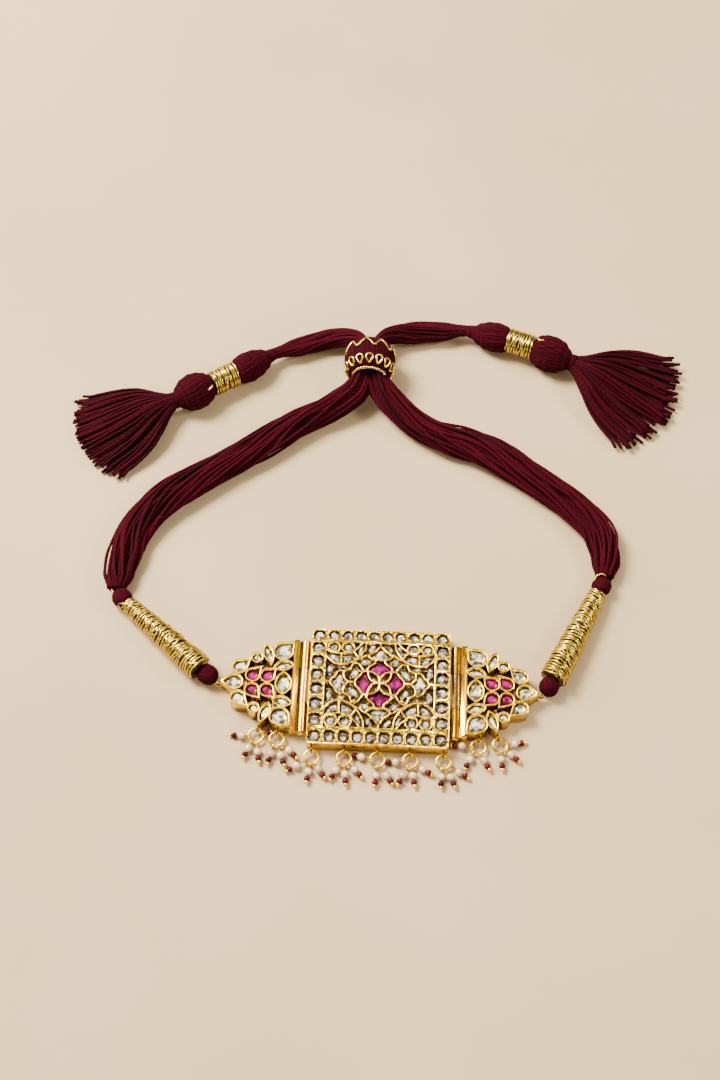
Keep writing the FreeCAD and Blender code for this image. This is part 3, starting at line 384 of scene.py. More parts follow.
# CLEAR STONES
# Small clear cut stones laid on bright foil in their pockets. Each shows bright and dark patches,
# painted reflections of the window in its facets and the crinkled foil below them.
def foil_crinkles_and_painted_reflections():
    """Group for foil seen through a cut stone: broken patches of tone that are painted reflections, and their
    slopes.
    """
    group, nodes, links, given, result = new_effect(
        "foil_crinkles_and_painted_reflections", {"Dark": (0.3, 0.28, 0.26, 1), "Light": (0.9, 0.9, 0.89, 1)}, {"Cell": 800.0},
        ("Colour", "Height"))
    place = nodes.new("ShaderNodeTexCoord")
    broken = nodes.new("ShaderNodeTexVoronoi")
    links.new(place.outputs["Object"], broken.inputs["Vector"])
    links.new(given.outputs["Cell"], broken.inputs["Scale"])
    painted_reflection_patches = nodes.new("ShaderNodeTexNoise")
    links.new(place.outputs["Object"], painted_reflection_patches.inputs["Vector"])
    links.new(given.outputs["Cell"], painted_reflection_patches.inputs["Scale"])
    spread = nodes.new("ShaderNodeMapRange")
    spread.inputs["From Min"].default_value = 0.42
    spread.inputs["From Max"].default_value = 0.56
    links.new(painted_reflection_patches.outputs["Fac"], spread.inputs["Value"])
    tone = nodes.new("ShaderNodeMix")
    tone.data_type = "RGBA"
    links.new(spread.outputs["Result"], tone.inputs["Factor"])
    links.new(given.outputs["Dark"], tone.inputs["A"])
    links.new(given.outputs["Light"], tone.inputs["B"])
    links.new(tone.outputs["Result"], result.inputs["Colour"])
    links.new(broken.outputs["Distance"], result.inputs["Height"])
    return group


FOIL = foil_crinkles_and_painted_reflections()


def lay_foil(nodes, links, shader, cell, dark, light, strength):
    """Foil under a stone: its patches, painted reflections, as the stone's colour, and its crinkles as
    slopes.
    """
    foil = use_effect(nodes, FOIL, Cell=cell, Dark=dark, Light=light)
    links.new(foil.outputs["Colour"], shader.inputs["Base Color"])
    emboss(nodes, links, shader, foil.outputs["Height"], strength, 0.12 * MM)


stone_clear, nodes, links, shader = new_finish("clear_stone_on_foil", metallic=0.72, roughness=0.08, coat=0.9,
                                               coat_roughness=0.02)
lay_foil(nodes, links, shader, 800.0, (0.13, 0.095, 0.06, 1), (1.0, 0.97, 0.91, 1), 0.9)
for node in ("border_stones", "field_stones", "left_stones", "right_stones"):
    dress(node, node + "_cut", stone_clear, smooth=5)

# RUBIES
# Pink-red stones on foil: four large ones with pointed ends round the middle of the centre plate,
# and four small drops on each side plate.
ruby_pink, nodes, links, shader = new_finish("ruby_pink", metallic=0.2, roughness=0.2, specular=0.14,
                                             coat=0.14, coat_roughness=0.03)
# The foil's patches paint bright and dark reflections into the rubies' colour.
lay_foil(nodes, links, shader, 420.0, (0.05, 0.0, 0.02, 1), (0.23, 0.0, 0.1, 1), 0.3)
rubies = ["ruby_" + place for place in ("top", "bottom", "left", "right")]
rubies += ["%s_ruby_%s_%s" % (side, row, place) for side in ("left", "right")
           for row in ("upper", "lower") for place in ("inner", "outer")]
for node in rubies:
    dress(node, node + "_cut", ruby_pink, smooth=5)

# JUMP RINGS AND HEAD PINS
# Bright round wire rings hang from the eyes, and straight gold pins with a ball at the end are
# looped onto them, three or four on a ring.
STOUTER_RING = 0.13 * MM
STOUTER_PIN = 0.08 * MM


def fatten(piece, extra):
    """Wire drawn a little stouter, as it looks in the light."""
    pick(piece)
    bpy.ops.object.mode_set(mode="EDIT")
    bpy.ops.mesh.select_all(action="SELECT")
    bpy.ops.transform.shrink_fatten(value=extra)
    bpy.ops.object.mode_set(mode="OBJECT")


wire_gold = gold_finish("wire_gold")
ring_names = ["ring_left_outer", "ring_left_inner", "ring_right_inner", "ring_right_outer"]
ring_names += ["ring_centre_%d" % number for number in range(1, 6)]
for node in ring_names:
    fatten(dress(node, node + "_wire", wire_gold, smooth=60), STOUTER_RING)
pins = {}
for group in ("left", "centre", "right"):
    pins[group] = dress(group + "_head_pins", group + "_head_pins_wire", wire_gold, smooth=60)
    fatten(pins[group], STOUTER_PIN)

# PEARLS
# Small round cream pearls, drilled through and threaded on the head pins. Their lustre is soft and
# clouded, and painted shade makes them darker and warmer towards the rim.
pearl_cream, nodes, links, shader = new_finish("pearl_cream", roughness=0.28, coat=0.6, coat_roughness=0.15)
# Painted shade: the colour darkens towards the rim, where the pearl turns away from the camera.
painted_rim_shade_mask = nodes.new("ShaderNodeLayerWeight")
painted_rim_shade_mask.inputs["Blend"].default_value = 0.38
body = nodes.new("ShaderNodeMix")
body.data_type = "RGBA"
body.inputs["B"].default_value = (0.15, 0.062, 0.012, 1)
links.new(painted_rim_shade_mask.outputs["Facing"], body.inputs["Factor"])
lustre = clouded(nodes, links, 350.0, (0.42, 0.27, 0.13, 1), (0.80, 0.59, 0.34, 1))
links.new(lustre, body.inputs["A"])
links.new(body.outputs["Result"], shader.inputs["Base Color"])
for group in ("left", "centre", "right"):
    dress(group + "_pearls", group + "_pearls_round", pearl_cream, smooth=60)

# RED SEED BEADS
# One small dark red glass bead, wider than long, sits on each head pin between its pearl and its
# ball. The beads of one group of pins are one piece.
SEED_HALF_LONG = 0.62 * MM
SEED_RADIUS = 0.92 * MM
SEED_WALL = SEED_RADIUS * 0.44
SEED_FROM_END = 1.68 * MM

seed_red, nodes, links, shader = new_finish("seed_red_glass", roughness=0.3, specular=0.14)
glass_red = clouded(nodes, links, 240.0, (0.03, 0.0, 0.001, 1), (0.105, 0.0, 0.005, 1))
links.new(glass_red, shader.inputs["Base Color"])


def loose_pieces(data):
    """Lists of vertex places of each unconnected piece of a mesh."""
    owner = list(range(len(data.vertices)))

    def root(v):
        while owner[v] != v:
            owner[v] = owner[owner[v]]
            v = owner[v]
        return v

    for edge in data.edges:
        a, b = root(edge.vertices[0]), root(edge.vertices[1])
        if a != b:
            owner[max(a, b)] = min(a, b)
    found = {}
    for v in data.vertices:
        found.setdefault(root(v.index), []).append(v.co.copy())
    return list(found.values())


clear_selection()
bpy.ops.mesh.primitive_torus_add(major_segments=16, minor_segments=8, major_radius=SEED_RADIUS - SEED_WALL,
                                 minor_radius=SEED_WALL, location=(0, 0, 0))
seed = bpy.context.object
bpy.ops.object.mode_set(mode="EDIT")
bpy.ops.mesh.select_all(action="SELECT")
bpy.ops.transform.resize(value=(1, 1, SEED_HALF_LONG / SEED_WALL))
bpy.ops.object.mode_set(mode="OBJECT")
bpy.ops.object.shade_smooth()

ring_middles = [(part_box(node)[0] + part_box(node)[1]) / 2 for node in ring_names]
for group, wires in pins.items():
    copies = []
    for places in loose_pieces(wires.data):
        middle = sum(places, Vector()) / len(places)
        hung_on = min(ring_middles, key=lambda m: (m - middle).length)
        far = max(places, key=lambda p: (p - hung_on).length)
        along = (far - middle).normalized()
        copy = seed.copy()
        copy.data = seed.data.copy()
        turn = along.to_track_quat("Z", "Y").to_matrix().to_4x4()
        turn.translation = far - along * SEED_FROM_END
        copy.data.transform(turn)
        bpy.context.collection.objects.link(copy)
        copies.append(copy)
    clear_selection()
    for copy in copies:
        copy.select_set(True)
    bpy.context.view_layer.objects.active = copies[0]
    bpy.ops.object.join()
    seeds = bpy.context.object
    seeds.name = group + "_seed_beads"
    seeds.data.materials.clear()
    seeds.data.materials.append(seed_red)
    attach(seeds, "root")
bpy.data.objects.remove(seed)

# TWO COTTON CORDS
# Each is a bundle of soft maroon two-ply strings with a gentle twist. It runs from the collar of
# its gold sleeve, round the arm's loop, through the sliding bead and on to its first thread ball.
STRING_RADIUS = 0.44 * MM
STRINGS = 62
GOLDEN_TURN = 2.39996

# Route points are x, y, z in millimetres. A row of widths is the distance along, the half width,
# the half height, and how far the bundle lies to the right of its route.
CORDS = {
    "left": dict(
        route=[(-78.3, 29.0, 2.9), (-78.6, 43.0, 3.5), (-71.3, 58.0, 3.6), (-56.5, 69.5, 3.7),
               (-41.5, 80.0, 3.6), (-28.5, 90.3, 3.5), (-19.2, 95.7, 4.3), (-9.9, 101.6, 6.8),
               (-8.95, 111.6, 7.4), (-9.3, 119.4, 6.7), (-16.8, 123.6, 3.6), (-27.0, 120.8, 2.9),
               (-37.8, 114.9, 4.1)],
        widths=[(0, 3.0, 2.4, 0.0), (5, 4.8, 3.0, 0.2), (13, 5.9, 3.4, 0.8), (26, 5.7, 3.6, 0.6),
                (58, 5.4, 3.7, 0.5), (84, 5.0, 3.6, 0.3), (96, 5.0, 3.6, 0.6), (102, 4.6, 3.6, 0.7),
                (107.2, 3.7, 3.9, 0.2), (110, 2.0, 3.3, 0.0), (117, 1.8, 3.0, 0.0), (121, 2.2, 2.9, 0.0),
                (126, 3.2, 2.9, -0.2), (134, 3.7, 2.9, -0.4), (144, 3.3, 2.7, -0.2), (151, 2.0, 2.0, 0.0),
                (153, 1.8, 1.9, 0.0)],
        twist=0.9, seed=3),
    "right": dict(
        route=[(64.9, 39.2, 2.9), (66.5, 50.5, 3.5), (58.5, 62.0, 3.6), (44.5, 72.5, 3.7),
               (30.0, 82.2, 3.6), (13.5, 86.6, 3.5), (3.2, 93.8, 4.4), (-4.8, 101.8, 6.8),
               (-5.65, 111.6, 7.4), (-5.1, 119.8, 6.7), (1.9, 125.8, 3.6), (11.5, 127.6, 2.9),
               (23.5, 126.6, 4.1)],
        widths=[(0, 2.9, 2.4, 0.0), (5, 4.4, 3.0, 0.0), (13, 5.3, 3.4, -0.2), (26, 5.3, 3.6, -0.5),
                (42, 5.3, 3.7, -0.5), (54, 6.0, 3.7, -0.1), (66, 5.8, 3.7, 0.2), (80, 4.8, 3.6, 0.0),
                (92, 4.7, 3.6, 0.2), (98, 4.4, 3.6, 0.4), (102.8, 3.7, 3.9, 0.0), (106, 2.0, 3.3, 0.0),
                (113, 1.8, 3.0, 0.0), (117, 2.2, 2.9, 0.0), (122, 3.2, 2.9, 0.2), (130, 4.0, 3.0, 0.8),
                (139, 3.5, 2.8, 0.6), (146, 2.0, 2.0, 0.0), (148, 1.8, 1.9, 0.0)],
        twist=-0.8, seed=8),
}


def read_spline(name, route):
    """Fine places along the smooth curve that a route's points pull."""
    line = bpy.data.curves.new(name, "CURVE")
    line.dimensions = "3D"
    line.resolution_u = 32
    spline = line.splines.new("NURBS")
    spline.points.add(len(route) - 1)
    for point, (x, y, z) in zip(spline.points, route):
        point.co = (x * MM, y * MM, z * MM, 1)
    spline.order_u = 3
    spline.use_endpoint_u = True
    holder = bpy.data.objects.new(name, line)
    drawn = bpy.data.meshes.new_from_object(holder)
    fine = [v.co.copy() for v in drawn.vertices]
    bpy.data.objects.remove(holder)
    return fine


def even_places(fine, step):
    """Places one step apart along a fine line, with its two ends kept."""
    places = [fine[0]]
    owed = step
    for a, b in zip(fine, fine[1:]):
        gap = (b - a).length
        while gap > 1e-9 and owed <= gap:
            places.append(a.lerp(b, owed / gap))
            a = places[-1]
            gap = (b - a).length
            owed = step
        owed -= gap
    if (places[-1] - fine[-1]).length > step * 0.4:
        places.append(fine[-1])
    else:
        places[-1] = fine[-1]
    return places


def from_table(rows, where, column):
    """Value of a column at a distance or part in column 0, eased from row to row."""
    for low, high in zip(rows, rows[1:]):
        if where <= high[0]:
            share = (where - low[0]) / (high[0] - low[0])
            share = share * share * (3 - 2 * share)
            return low[column] + (high[column] - low[column]) * share
    return rows[-1][column]


def directions(places):
    """Forward, level sideways and upward direction at each place of a line."""
    found = []
    for i in range(len(places)):
        ahead = (places[min(i + 1, len(places) - 1)] - places[max(i - 1, 0)]).normalized()
        across = Vector((ahead.y, -ahead.x, 0))
        across = across.normalized() if across.length > 1e-6 else Vector((1, 0, 0))
        found.append((ahead, across, across.cross(ahead).normalized()))
    return found


def carried_directions(line):
    """Two directions square to a line at each place, carried along it without twisting."""
    ahead = (line[1] - line[0]).normalized()
    across = ahead.cross(Vector((0, 0, 1)) if abs(ahead.z) < 0.9 else Vector((1, 0, 0))).normalized()
    found = []
    for i in range(len(line)):
        ahead = (line[min(i + 1, len(line) - 1)] - line[max(i - 1, 0)]).normalized()
        across = (across - ahead * across.dot(ahead)).normalized()
        found.append((across, across.cross(ahead)))
    return found


def spin_strings(name, lines, radius, finish, sides=8):
    """One mesh of round strings along lines; the map runs round each string and along it."""
    corners, faces, map_places, tones = [], [], [], []
    chooser = random.Random(len(lines) * 7 + sides)
    for line in lines:
        start = len(corners)
        walked = 0.0
        tone = chooser.random()
        for i, (place, (across, up)) in enumerate(zip(line, carried_directions(line))):
            if i:
                walked += (place - line[i - 1]).length
            for k in range(sides):
                angle = 2 * math.pi * k / sides
                corners.append(place + (across * math.cos(angle) + up * math.sin(angle)) * radius)
            if i:
                for k in range(sides):
                    j = (k + 1) % sides
                    low = start + (i - 1) * sides
                    faces.append((low + k, low + sides + k, low + sides + j, low + j))
                    back = walked - (place - line[i - 1]).length
                    map_places.append([(k / sides, back), (k / sides, walked), ((k + 1) / sides, walked),
                                       ((k + 1) / sides, back)])
                    tones.append(tone)
        last = start + (len(line) - 1) * sides
        faces.append(tuple(range(start, start + sides)))
        faces.append(tuple(range(last + sides - 1, last - 1, -1)))
        for _ in range(2):
            map_places.append([(0.0, 0.0)] * sides)
            tones.append(tone)
    data = bpy.data.meshes.new(name)
    data.from_pydata([tuple(c) for c in corners], [], faces)
    lay = data.uv_layers.new(name="along_string")
    shade = data.attributes.new("string_tone", "FLOAT", "FACE")
    for face, spots, tone in zip(data.polygons, map_places, tones):
        face.use_smooth = len(face.vertices) == 4
        shade.data[face.index].value = tone
        for loop, (u, v) in zip(face.loop_indices, spots):
            lay.data[loop].uv = (u, v / MM)
    piece = bpy.data.objects.new(name, data)
    bpy.context.collection.objects.link(piece)
    piece.data.materials.append(finish)
    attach(piece, "root")
    return piece


def plied_thread():
    """Group for thread of two twisted plies: slanting ridges round and along the string, and fuzz, with the
    grooves painted darker as shade.
    """
    group, nodes, links, given, result = new_effect(
        "plied_thread", {"Dark": (0.05, 0.002, 0.008, 1), "Light": (0.2, 0.01, 0.03, 1)},
        {"Plies": 2.0, "Pitch": 1.4}, ("Colour", "Height"))
    lay = nodes.new("ShaderNodeUVMap")
    lay.uv_map = "along_string"
    parts = nodes.new("ShaderNodeSeparateXYZ")
    links.new(lay.outputs["UV"], parts.inputs["Vector"])

    def reckon(kind, first, second=None):
        """One step of arithmetic on numbers or sockets."""
        node = nodes.new("ShaderNodeMath")
        node.operation = kind
        for slot, value in zip(node.inputs, (first, second)):
            if isinstance(value, float):
                slot.default_value = value
            elif value is not None:
                links.new(value, slot)
        return node.outputs["Value"]

    around = reckon("MULTIPLY", parts.outputs["X"], given.outputs["Plies"])
    along = reckon("DIVIDE", parts.outputs["Y"], given.outputs["Pitch"])
    phase = reckon("MULTIPLY", reckon("ADD", around, along), 2 * math.pi)
    ridge = reckon("ABSOLUTE", reckon("SINE", reckon("MULTIPLY", phase, 0.5)))
    place = nodes.new("ShaderNodeTexCoord")
    fuzz = nodes.new("ShaderNodeTexNoise")
    fuzz.inputs["Scale"].default_value = 5000.0
    fuzz.inputs["Detail"].default_value = 3.0
    links.new(place.outputs["Object"], fuzz.inputs["Vector"])
    height = reckon("ADD", ridge, reckon("MULTIPLY", fuzz.outputs["Fac"], 0.5))
    links.new(height, result.inputs["Height"])
    tone = nodes.new("ShaderNodeAttribute")
    tone.attribute_name = "string_tone"
    # Painted shade: the colour darkens in the grooves between the plies, over each string's own tone.
    tone_and_painted_groove_shade = reckon("ADD", reckon("MULTIPLY", tone.outputs["Fac"], 0.5), reckon("MULTIPLY", height, 0.42))
    colour = nodes.new("ShaderNodeMix")
    colour.data_type = "RGBA"
    links.new(tone_and_painted_groove_shade, colour.inputs["Factor"])
    links.new(given.outputs["Dark"], colour.inputs["A"])
    links.new(given.outputs["Light"], colour.inputs["B"])
    links.new(colour.outputs["Result"], result.inputs["Colour"])
    return group


PLIED_THREAD = plied_thread()


def thread_finish(name, dark, light, pitch, ply_height, metallic=0.0, roughness=0.8, specular=0.05):
    """Material of plied thread; pitch is the length of a ply's turn in millimetres."""
    finish, nodes, links, shader = new_finish(name, metallic, roughness, specular)
    ply = use_effect(nodes, PLIED_THREAD, Dark=dark, Light=light, Pitch=pitch)
    links.new(ply.outputs["Colour"], shader.inputs["Base Color"])
    emboss(nodes, links, shader, ply.outputs["Height"], 0.8, ply_height)
    return finish


maroon_cotton = thread_finish("maroon_cotton", (0.0025, 0.0, 0.0002, 1), (0.038, 0.0, 0.0034, 1), 1.9,
                              0.12 * MM)

# The strings drift in the same way at every run.
noise.seed_set(4)
cord_ends = {}
for side, facts in CORDS.items():
    middle_line = even_places(read_spline(side + "_cord_line", facts["route"]), 1.0 * MM)
    frames = directions(middle_line)
    length = sum((b - a).length for a, b in zip(middle_line, middle_line[1:]))
    table_reach = facts["widths"][-1][0]
    strings = []
    for number in range(STRINGS):
        out = math.sqrt((number + 0.5) / STRINGS)
        angle = number * GOLDEN_TURN + facts["seed"]
        line = []
        for i, (place, (ahead, across, up)) in enumerate(zip(middle_line, frames)):
            share = i / (len(middle_line) - 1)
            wide, high, shift = (from_table(facts["widths"], share * table_reach, column) * MM
                                 for column in (1, 2, 3))
            wide -= STRING_RADIUS
            high -= STRING_RADIUS
            loose = min(1.0, wide / (3.5 * MM))
            drift = noise.noise_vector(Vector((share * 7.0, number * 3.7, facts["seed"])))
            turn = angle + 2 * math.pi * facts["twist"] * share + 0.7 * drift.z * loose
            spread = min(1.04, out + 0.2 * drift.x * loose)
            spot = place + across * (shift + wide * spread * math.cos(turn))
            spot += up * (high * spread * math.sin(turn))
            spot += up * (0.35 * MM * drift.y * loose)
            spot.z = max(spot.z, STRING_RADIUS + 0.04 * MM)
            line.append(spot)
        strings.append(line)
    cord = spin_strings(side + "_cord_strings", strings, STRING_RADIUS, maroon_cotton)
    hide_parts(side + "_bundle", side + "_tail")
    cord_ends[side] = (cord, middle_line, length)

# THREAD KNOBS, COLLARS AND BALLS
# The strings bulge over hidden knots and are whipped tight between them: a knob on each side
# plate's eye, a collar beyond the sleeve, and two balls near each tassel.


def bulged(name, node, start, end, rows, strings, radius, turns):
    """Strings laid lengthwise over a barrel from start to end; rows are (part, half width)."""
    start, end = Vector(start) * MM, Vector(end) * MM
    along = end - start
    across = Vector((along.y, -along.x, 0)).normalized()
    up = across.cross(along).normalized()
    lines = []
    for number in range(strings):
        angle = 2 * math.pi * number / strings
        line = []
        for i in range(25):
            part = i / 24
            wide = from_table(rows, part, 1) * MM - radius * 0.8
            jitter = 0.05 * noise.noise(Vector((part * 5, number * 1.9, wide * 900)))
            turn = angle + 2 * math.pi * turns * part + jitter
            wide *= 1 + jitter * 0.6
            spot = start + along * part + (across * math.cos(turn) + up * math.sin(turn)) * wide
            spot.z = max(spot.z, radius + 0.03 * MM)
            line.append(spot)
        lines.append(line)
    piece = spin_strings(name, lines, radius, maroon_cotton)
    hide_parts(node)
    return piece


def whipped(name, start, end, wide_at_start, wide_at_end, pitch, radius, finish, slot, seed, wobble=0.06,
            slant=0.0):
    """Thread wound round and round from start to end; slant leans the turns to and fro."""
    start, end = Vector(start) * MM, Vector(end) * MM
    along = end - start
    across = Vector((along.y, -along.x, 0)).normalized()
    up = across.cross(along).normalized()
    turns = along.length / (pitch * MM)
    steps = int(turns * 20)
    line = []
    for i in range(steps + 1):
        part = i / steps
        angle = 2 * math.pi * turns * part
        round_it = (math.cos(angle) * 1.3, math.sin(angle) * 1.3, part * turns * 0.9 + seed)
        drift = noise.noise_vector(Vector(round_it))
        wide = (wide_at_start + (wide_at_end - wide_at_start) * part ** 1.3 + wobble * drift.x) * MM
        lean = slant * math.sin(angle + 2.5 * noise.noise(Vector((part * 5.0, seed, 0.5))))
        lean *= min(1.0, 6 * part, 6 * (1 - part))
        spot = start + along * part + along.normalized() * ((drift.y * pitch * 0.8 + lean) * MM)
        spot += (across * math.cos(angle) + up * math.sin(angle)) * wide
        spot.z = max(spot.z, radius * MM + 0.02 * MM)
        line.append(spot)
    return spin_strings(name, [line], radius * MM, finish, sides=6)


SHORT_BARREL = [(0, 1.3), (0.12, 2.2), (0.3, 2.7), (0.5, 2.85), (0.7, 2.75), (0.88, 2.3), (1, 1.6)]
INNER_BALL = [(0, 1.8), (0.16, 2.1), (0.32, 3.5), (0.5, 4.4), (0.7, 4.7), (0.88, 4.3), (1, 3.3)]
OUTER_BALL = [(0, 3.4), (0.12, 4.7), (0.3, 5.5), (0.5, 5.7), (0.7, 5.2), (0.88, 3.7), (1, 2.2)]
KNOTS = {
    "left": dict(knob=((-47.0, 1.2, 2.8), (-51.3, 3.75, 3.4)),
                 collar=((-74.6, 24.4, 2.85), (-78.1, 27.9, 2.85)),
                 inner=((-37.5, 115.1, 4.2), (-49.3, 106.3, 5.0)),
                 outer=((-56.6, 101.3, 5.4), (-67.0, 95.4, 5.3)),
                 neck=((-66.3, 95.7, 5.2), (-68.2, 94.6, 5.2))),
    "right": dict(knob=((47.2, 0.8, 2.8), (49.25, 4.9, 3.4)),
                  collar=((62.9, 34.0, 2.85), (64.9, 38.4, 2.85)),
                  inner=((23.2, 126.6, 4.2), (36.4, 122.8, 5.0)),
                  outer=((44.2, 119.9, 5.4), (55.6, 115.2, 5.3)),
                  neck=((55.0, 115.4, 5.2), (57.1, 114.4, 5.2))),
}
tied_on = {"left": [], "right": []}
for side, ends in KNOTS.items():
    tied_on[side] += [
        bulged(side + "_knob_strings", side + "_knob", *ends["knob"], SHORT_BARREL, 22, 0.42 * MM, 0.12),
        bulged(side + "_collar_strings", side + "_collar", *ends["collar"], SHORT_BARREL, 22, 0.42 * MM, 0.1),
        bulged(side + "_inner_ball_strings", side + "_inner_ball", *ends["inner"], INNER_BALL, 36,
               0.44 * MM, 0.08),
        bulged(side + "_outer_ball_strings", side + "_outer_ball", *ends["outer"], OUTER_BALL, 42,
               0.44 * MM, 0.06),
        whipped(side + "_neck_whipping", *ends["neck"], wide_at_start=2.5, wide_at_end=2.6, pitch=0.5,
                radius=0.26, finish=maroon_cotton, slot="cotton", seed=4.0),
    ]

# GOLD SLEEVES AND WINDINGS
# Fine gold metal thread is wound over each cord: a long taper beside each side plate, and a short
# band between the two balls. The turns lie close, but not quite evenly.
gold_thread = thread_finish("gold_thread", (0.25, 0.16, 0.008, 1), (0.80, 0.60, 0.09, 1), 2.4, 0.03 * MM,
                            metallic=1.0, roughness=0.25, specular=0.5)
# The sleeve and band cores are painted very dark gold: painted shade for the gaps between the turns.
shadowed_gold, nodes, links, shader = new_finish("shadowed_gold", metallic=0.8)
gold = use_effect(nodes, WORN_GOLD_AND_PAINTED_SHADE, Bright=(0.07, 0.035, 0.003, 1), Deep=(0.03, 0.014, 0.001, 1))
links.new(gold.outputs["Colour"], shader.inputs["Base Color"])
links.new(gold.outputs["Roughness"], shader.inputs["Roughness"])
SLEEVES = {
    "left": ((-51.52, 4.05, 3.6), (-74.6, 24.4, 2.7)),
    "right": ((49.3, 5.0, 3.6), (62.9, 34.0, 2.8)),
}
BANDS = {
    "left": ((-49.3, 106.3, 5.0), (-56.3, 101.5, 5.4)),
    "right": ((36.4, 122.8, 5.0), (43.9, 120.0, 5.4)),
}
for number, side in enumerate(("left", "right")):
    tied_on[side] += [
        dress(side + "_sleeve", side + "_sleeve_core", shadowed_gold),
        dress(side + "_winding", side + "_band_core", shadowed_gold),
        whipped(side + "_sleeve_thread", *SLEEVES[side], wide_at_start=3.68, wide_at_end=2.24, pitch=0.92,
                radius=0.34, finish=gold_thread, slot="gold_thread", seed=number * 9.0, wobble=0.2,
                slant=0.4),
        whipped(side + "_sleeve_over_thread", *SLEEVES[side], wide_at_start=3.88, wide_at_end=2.42,
                pitch=4.7, radius=0.28, finish=gold_thread, slot="gold_thread", seed=number * 9.0 + 4.0,
                wobble=0.16, slant=1.1),
        whipped(side + "_band_thread", *BANDS[side], wide_at_start=3.72, wide_at_end=3.68, pitch=0.78,
                radius=0.32, finish=gold_thread, slot="gold_thread", seed=number * 5.0 + 2.0, wobble=0.1,
                slant=0.15),
    ]

loose_ends = [
    [(-78.7, 26.9, 4.6), (-79.5, 27.9, 4.4), (-79.3, 29.0, 3.9)],
    [(61.7, 37.0, 4.7), (62.4, 38.3, 5.7), (63.8, 39.0, 5.6), (65.0, 38.6, 5.0)],
    [(-55.4, 98.3, 9.6), (-56.2, 97.2, 9.2), (-57.4, 96.9, 8.6)],
    [(44.6, 120.6, 10.2), (45.6, 119.2, 10.6), (46.9, 118.9, 10.9)],
]
spin_strings("gold_thread_ends", [[Vector(spot) * MM for spot in end] for end in loose_ends], 0.3 * MM,
             gold_thread)

# SLIDING BEAD
# A round bead wound all over with maroon thread. Gold thread is stitched over it in a zigzag at
# the back and in a twisted ring with small loops round the hole at the front.
BEAD_MIDDLE = Vector((-7.3, 110.6, 7.75)) * MM
BEAD_RADIUS = 7.6 * MM
BEAD_END_RADIUS = 5.2 * MM
BEAD_HALF_LONG = 5.3 * MM
BEAD_THREADS = 64
ZIGZAGS = 18
LOOPS = 15
THREAD_RING_RADIUS = 5.0 * MM
THREAD_RING_TWIST = 0.28 * MM
THREAD_RING_PLACE = -5.55 * MM


def bead_axis(place):
    """The place on the bead's axis that is level with another place."""
    return Vector((BEAD_MIDDLE.x, place.y, BEAD_MIDDLE.z))


def bead_width(along):
    """Radius of the bead at a place along its hole."""
    part = along / BEAD_HALF_LONG
    return BEAD_END_RADIUS + (BEAD_RADIUS - BEAD_END_RADIUS) * math.sqrt(max(0.0, 1 - part * part))


def on_bead(around, along):
    """Place on the bead's skin: angle round its hole from the top, and place along the hole."""
    wide = bead_width(along)
    return BEAD_MIDDLE + Vector((math.sin(around) * wide, along, math.cos(around) * wide))


bead_lines = []
for number in range(BEAD_THREADS):
    around = 2 * math.pi * number / BEAD_THREADS
    skin = [on_bead(around, BEAD_HALF_LONG * -math.cos(math.pi * i / 20)) for i in range(21)]
    tucked = []
    for place in (skin[0], skin[-1]):
        inner = bead_axis(place) + (place - bead_axis(place)) * 0.86
        inner.y -= math.copysign(0.25 * MM, place.y - BEAD_MIDDLE.y)
        tucked.append(inner)
    bead_lines.append([tucked[0]] + skin + [tucked[1]])
bead_thread = spin_strings("slider_bead_thread", bead_lines, 0.36 * MM, maroon_cotton, sides=6)
bead_core = dress("slider_bead", "slider_bead_core", maroon_cotton)

stitches = []
zigzag = []
for k in range(ZIGZAGS):
    zigzag.append(on_bead(2 * math.pi * (k + 0.5) / ZIGZAGS, (4.3 if k % 2 else 0.9) * MM))
for a, b in zip(zigzag, zigzag[1:] + zigzag[:1]):
    stitch = []
    for i in range(7):
        spot = a.lerp(b, i / 6)
        outwards = (spot - bead_axis(spot)).normalized()
        stitch.append(bead_axis(spot) + outwards * (bead_width(spot.y - BEAD_MIDDLE.y) + 0.42 * MM))
    stitches.append(stitch)
for k in range(LOOPS):
    around = 2 * math.pi * k / LOOPS
    petal = []
    for i in range(13):
        swing = 2 * math.pi * i / 12
        out = 0.5 - 0.5 * math.cos(swing)
        spot = on_bead(around + (0.07 + 0.12 * out) * math.sin(swing), (-4.9 + 2.6 * out) * MM)
        petal.append(spot + (spot - bead_axis(spot)).normalized() * 0.45 * MM)
    stitches.append(petal)
for ply in (0, 1):
    rope = []
    for i in range(161):
        around = 2 * math.pi * i / 160
        swing = 24 * around + math.pi * ply
        wide = THREAD_RING_RADIUS + THREAD_RING_TWIST * math.cos(swing)
        along = THREAD_RING_PLACE + THREAD_RING_TWIST * math.sin(swing)
        rope.append(BEAD_MIDDLE + Vector((math.sin(around) * wide, along, math.cos(around) * wide)))
    stitches.append(rope)
embroidery = spin_strings("slider_bead_embroidery", stitches, 0.34 * MM, gold_thread, sides=6)
tied_on["left"] += [bead_core, bead_thread, embroidery]

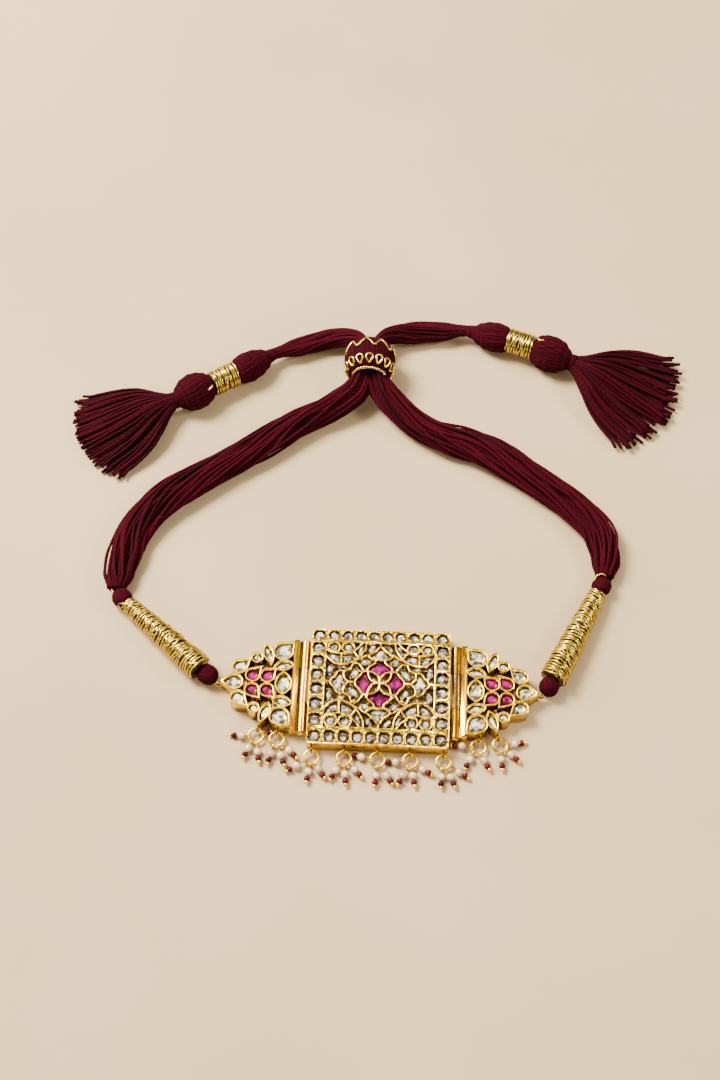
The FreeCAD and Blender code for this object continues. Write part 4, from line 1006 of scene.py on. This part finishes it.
# TASSELS
# Each cord's strings end in a fan of cut ends that lies on the table, fuller in the middle, with
# blunt tips at slightly different lengths.
TASSELS = {
    "left": dict(neck=(-67.4, 95.1, 5.2), ahead=210.0, half_fan=31.0, length=32.5, seed=5),
    "right": dict(neck=(56.1, 114.9, 5.2), ahead=-27.0, half_fan=34.5, length=35.5, seed=9),
}
TASSEL_STRINGS = 120
TASSEL_STRING_RADIUS = 0.48 * MM
TASSEL_HEAD_HEIGHT = 5.2 * MM
tassel_cotton = thread_finish("tassel_cotton", (0.0022, 0.0, 0.0002, 1), (0.032, 0.0, 0.0029, 1), 1.9,
                              0.12 * MM)
for side, facts in TASSELS.items():
    chooser = random.Random(facts["seed"])
    neck = Vector(facts["neck"]) * MM
    middle = math.radians(facts["ahead"])
    sideways = Vector((-math.sin(middle), math.cos(middle), 0))
    lines = []
    for number in range(TASSEL_STRINGS):
        out = math.sqrt((number + 0.5) / TASSEL_STRINGS)
        angle = number * GOLDEN_TURN
        across, above = out * math.cos(angle), out * math.sin(angle)
        swing = math.radians(facts["half_fan"]) * across + math.radians(chooser.uniform(-2.5, 2.5))
        reach = facts["length"] * (1 - 0.07 * across * across) * chooser.uniform(0.88, 1.0) * MM
        bend = chooser.uniform(-0.05, 0.05)
        line = []
        for i in range(27):
            part = i / 26
            swung = middle + swing * (1 - (1 - part) ** 6) + bend * part * part
            drift = noise.noise_vector(Vector((part * 3.0, number * 2.3, facts["seed"])))
            spread = across * 2.2 * MM * (1 + 1.2 * math.sin(math.pi * min(1.0, part * 1.1)))
            spot = neck + Vector((math.cos(swung), math.sin(swung), 0)) * (reach * part)
            spot += sideways * (spread + 0.45 * MM * drift.x * part)
            pile = 2.1 * MM * (1 - part) + (2.6 - 1.0 * part) * MM * min(1.0, part * 4)
            level = TASSEL_HEAD_HEIGHT * (1 - part) ** 1.6
            level += (2.2 - 0.425 * part) * MM * min(1.0, part * 3)
            spot.z = level + above * pile * 0.85 + 0.25 * MM * drift.y * part
            spot.z = max(spot.z, TASSEL_STRING_RADIUS + 0.03 * MM)
            line.append(spot)
        lines.append(line)
    tassel = spin_strings(side + "_tassel_strings", lines, TASSEL_STRING_RADIUS, tassel_cotton,
                          sides=6)
    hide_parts(side + "_tassel")
    tied_on[side].append(tassel)
    cord, middle_line, length = cord_ends[side]

low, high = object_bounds()
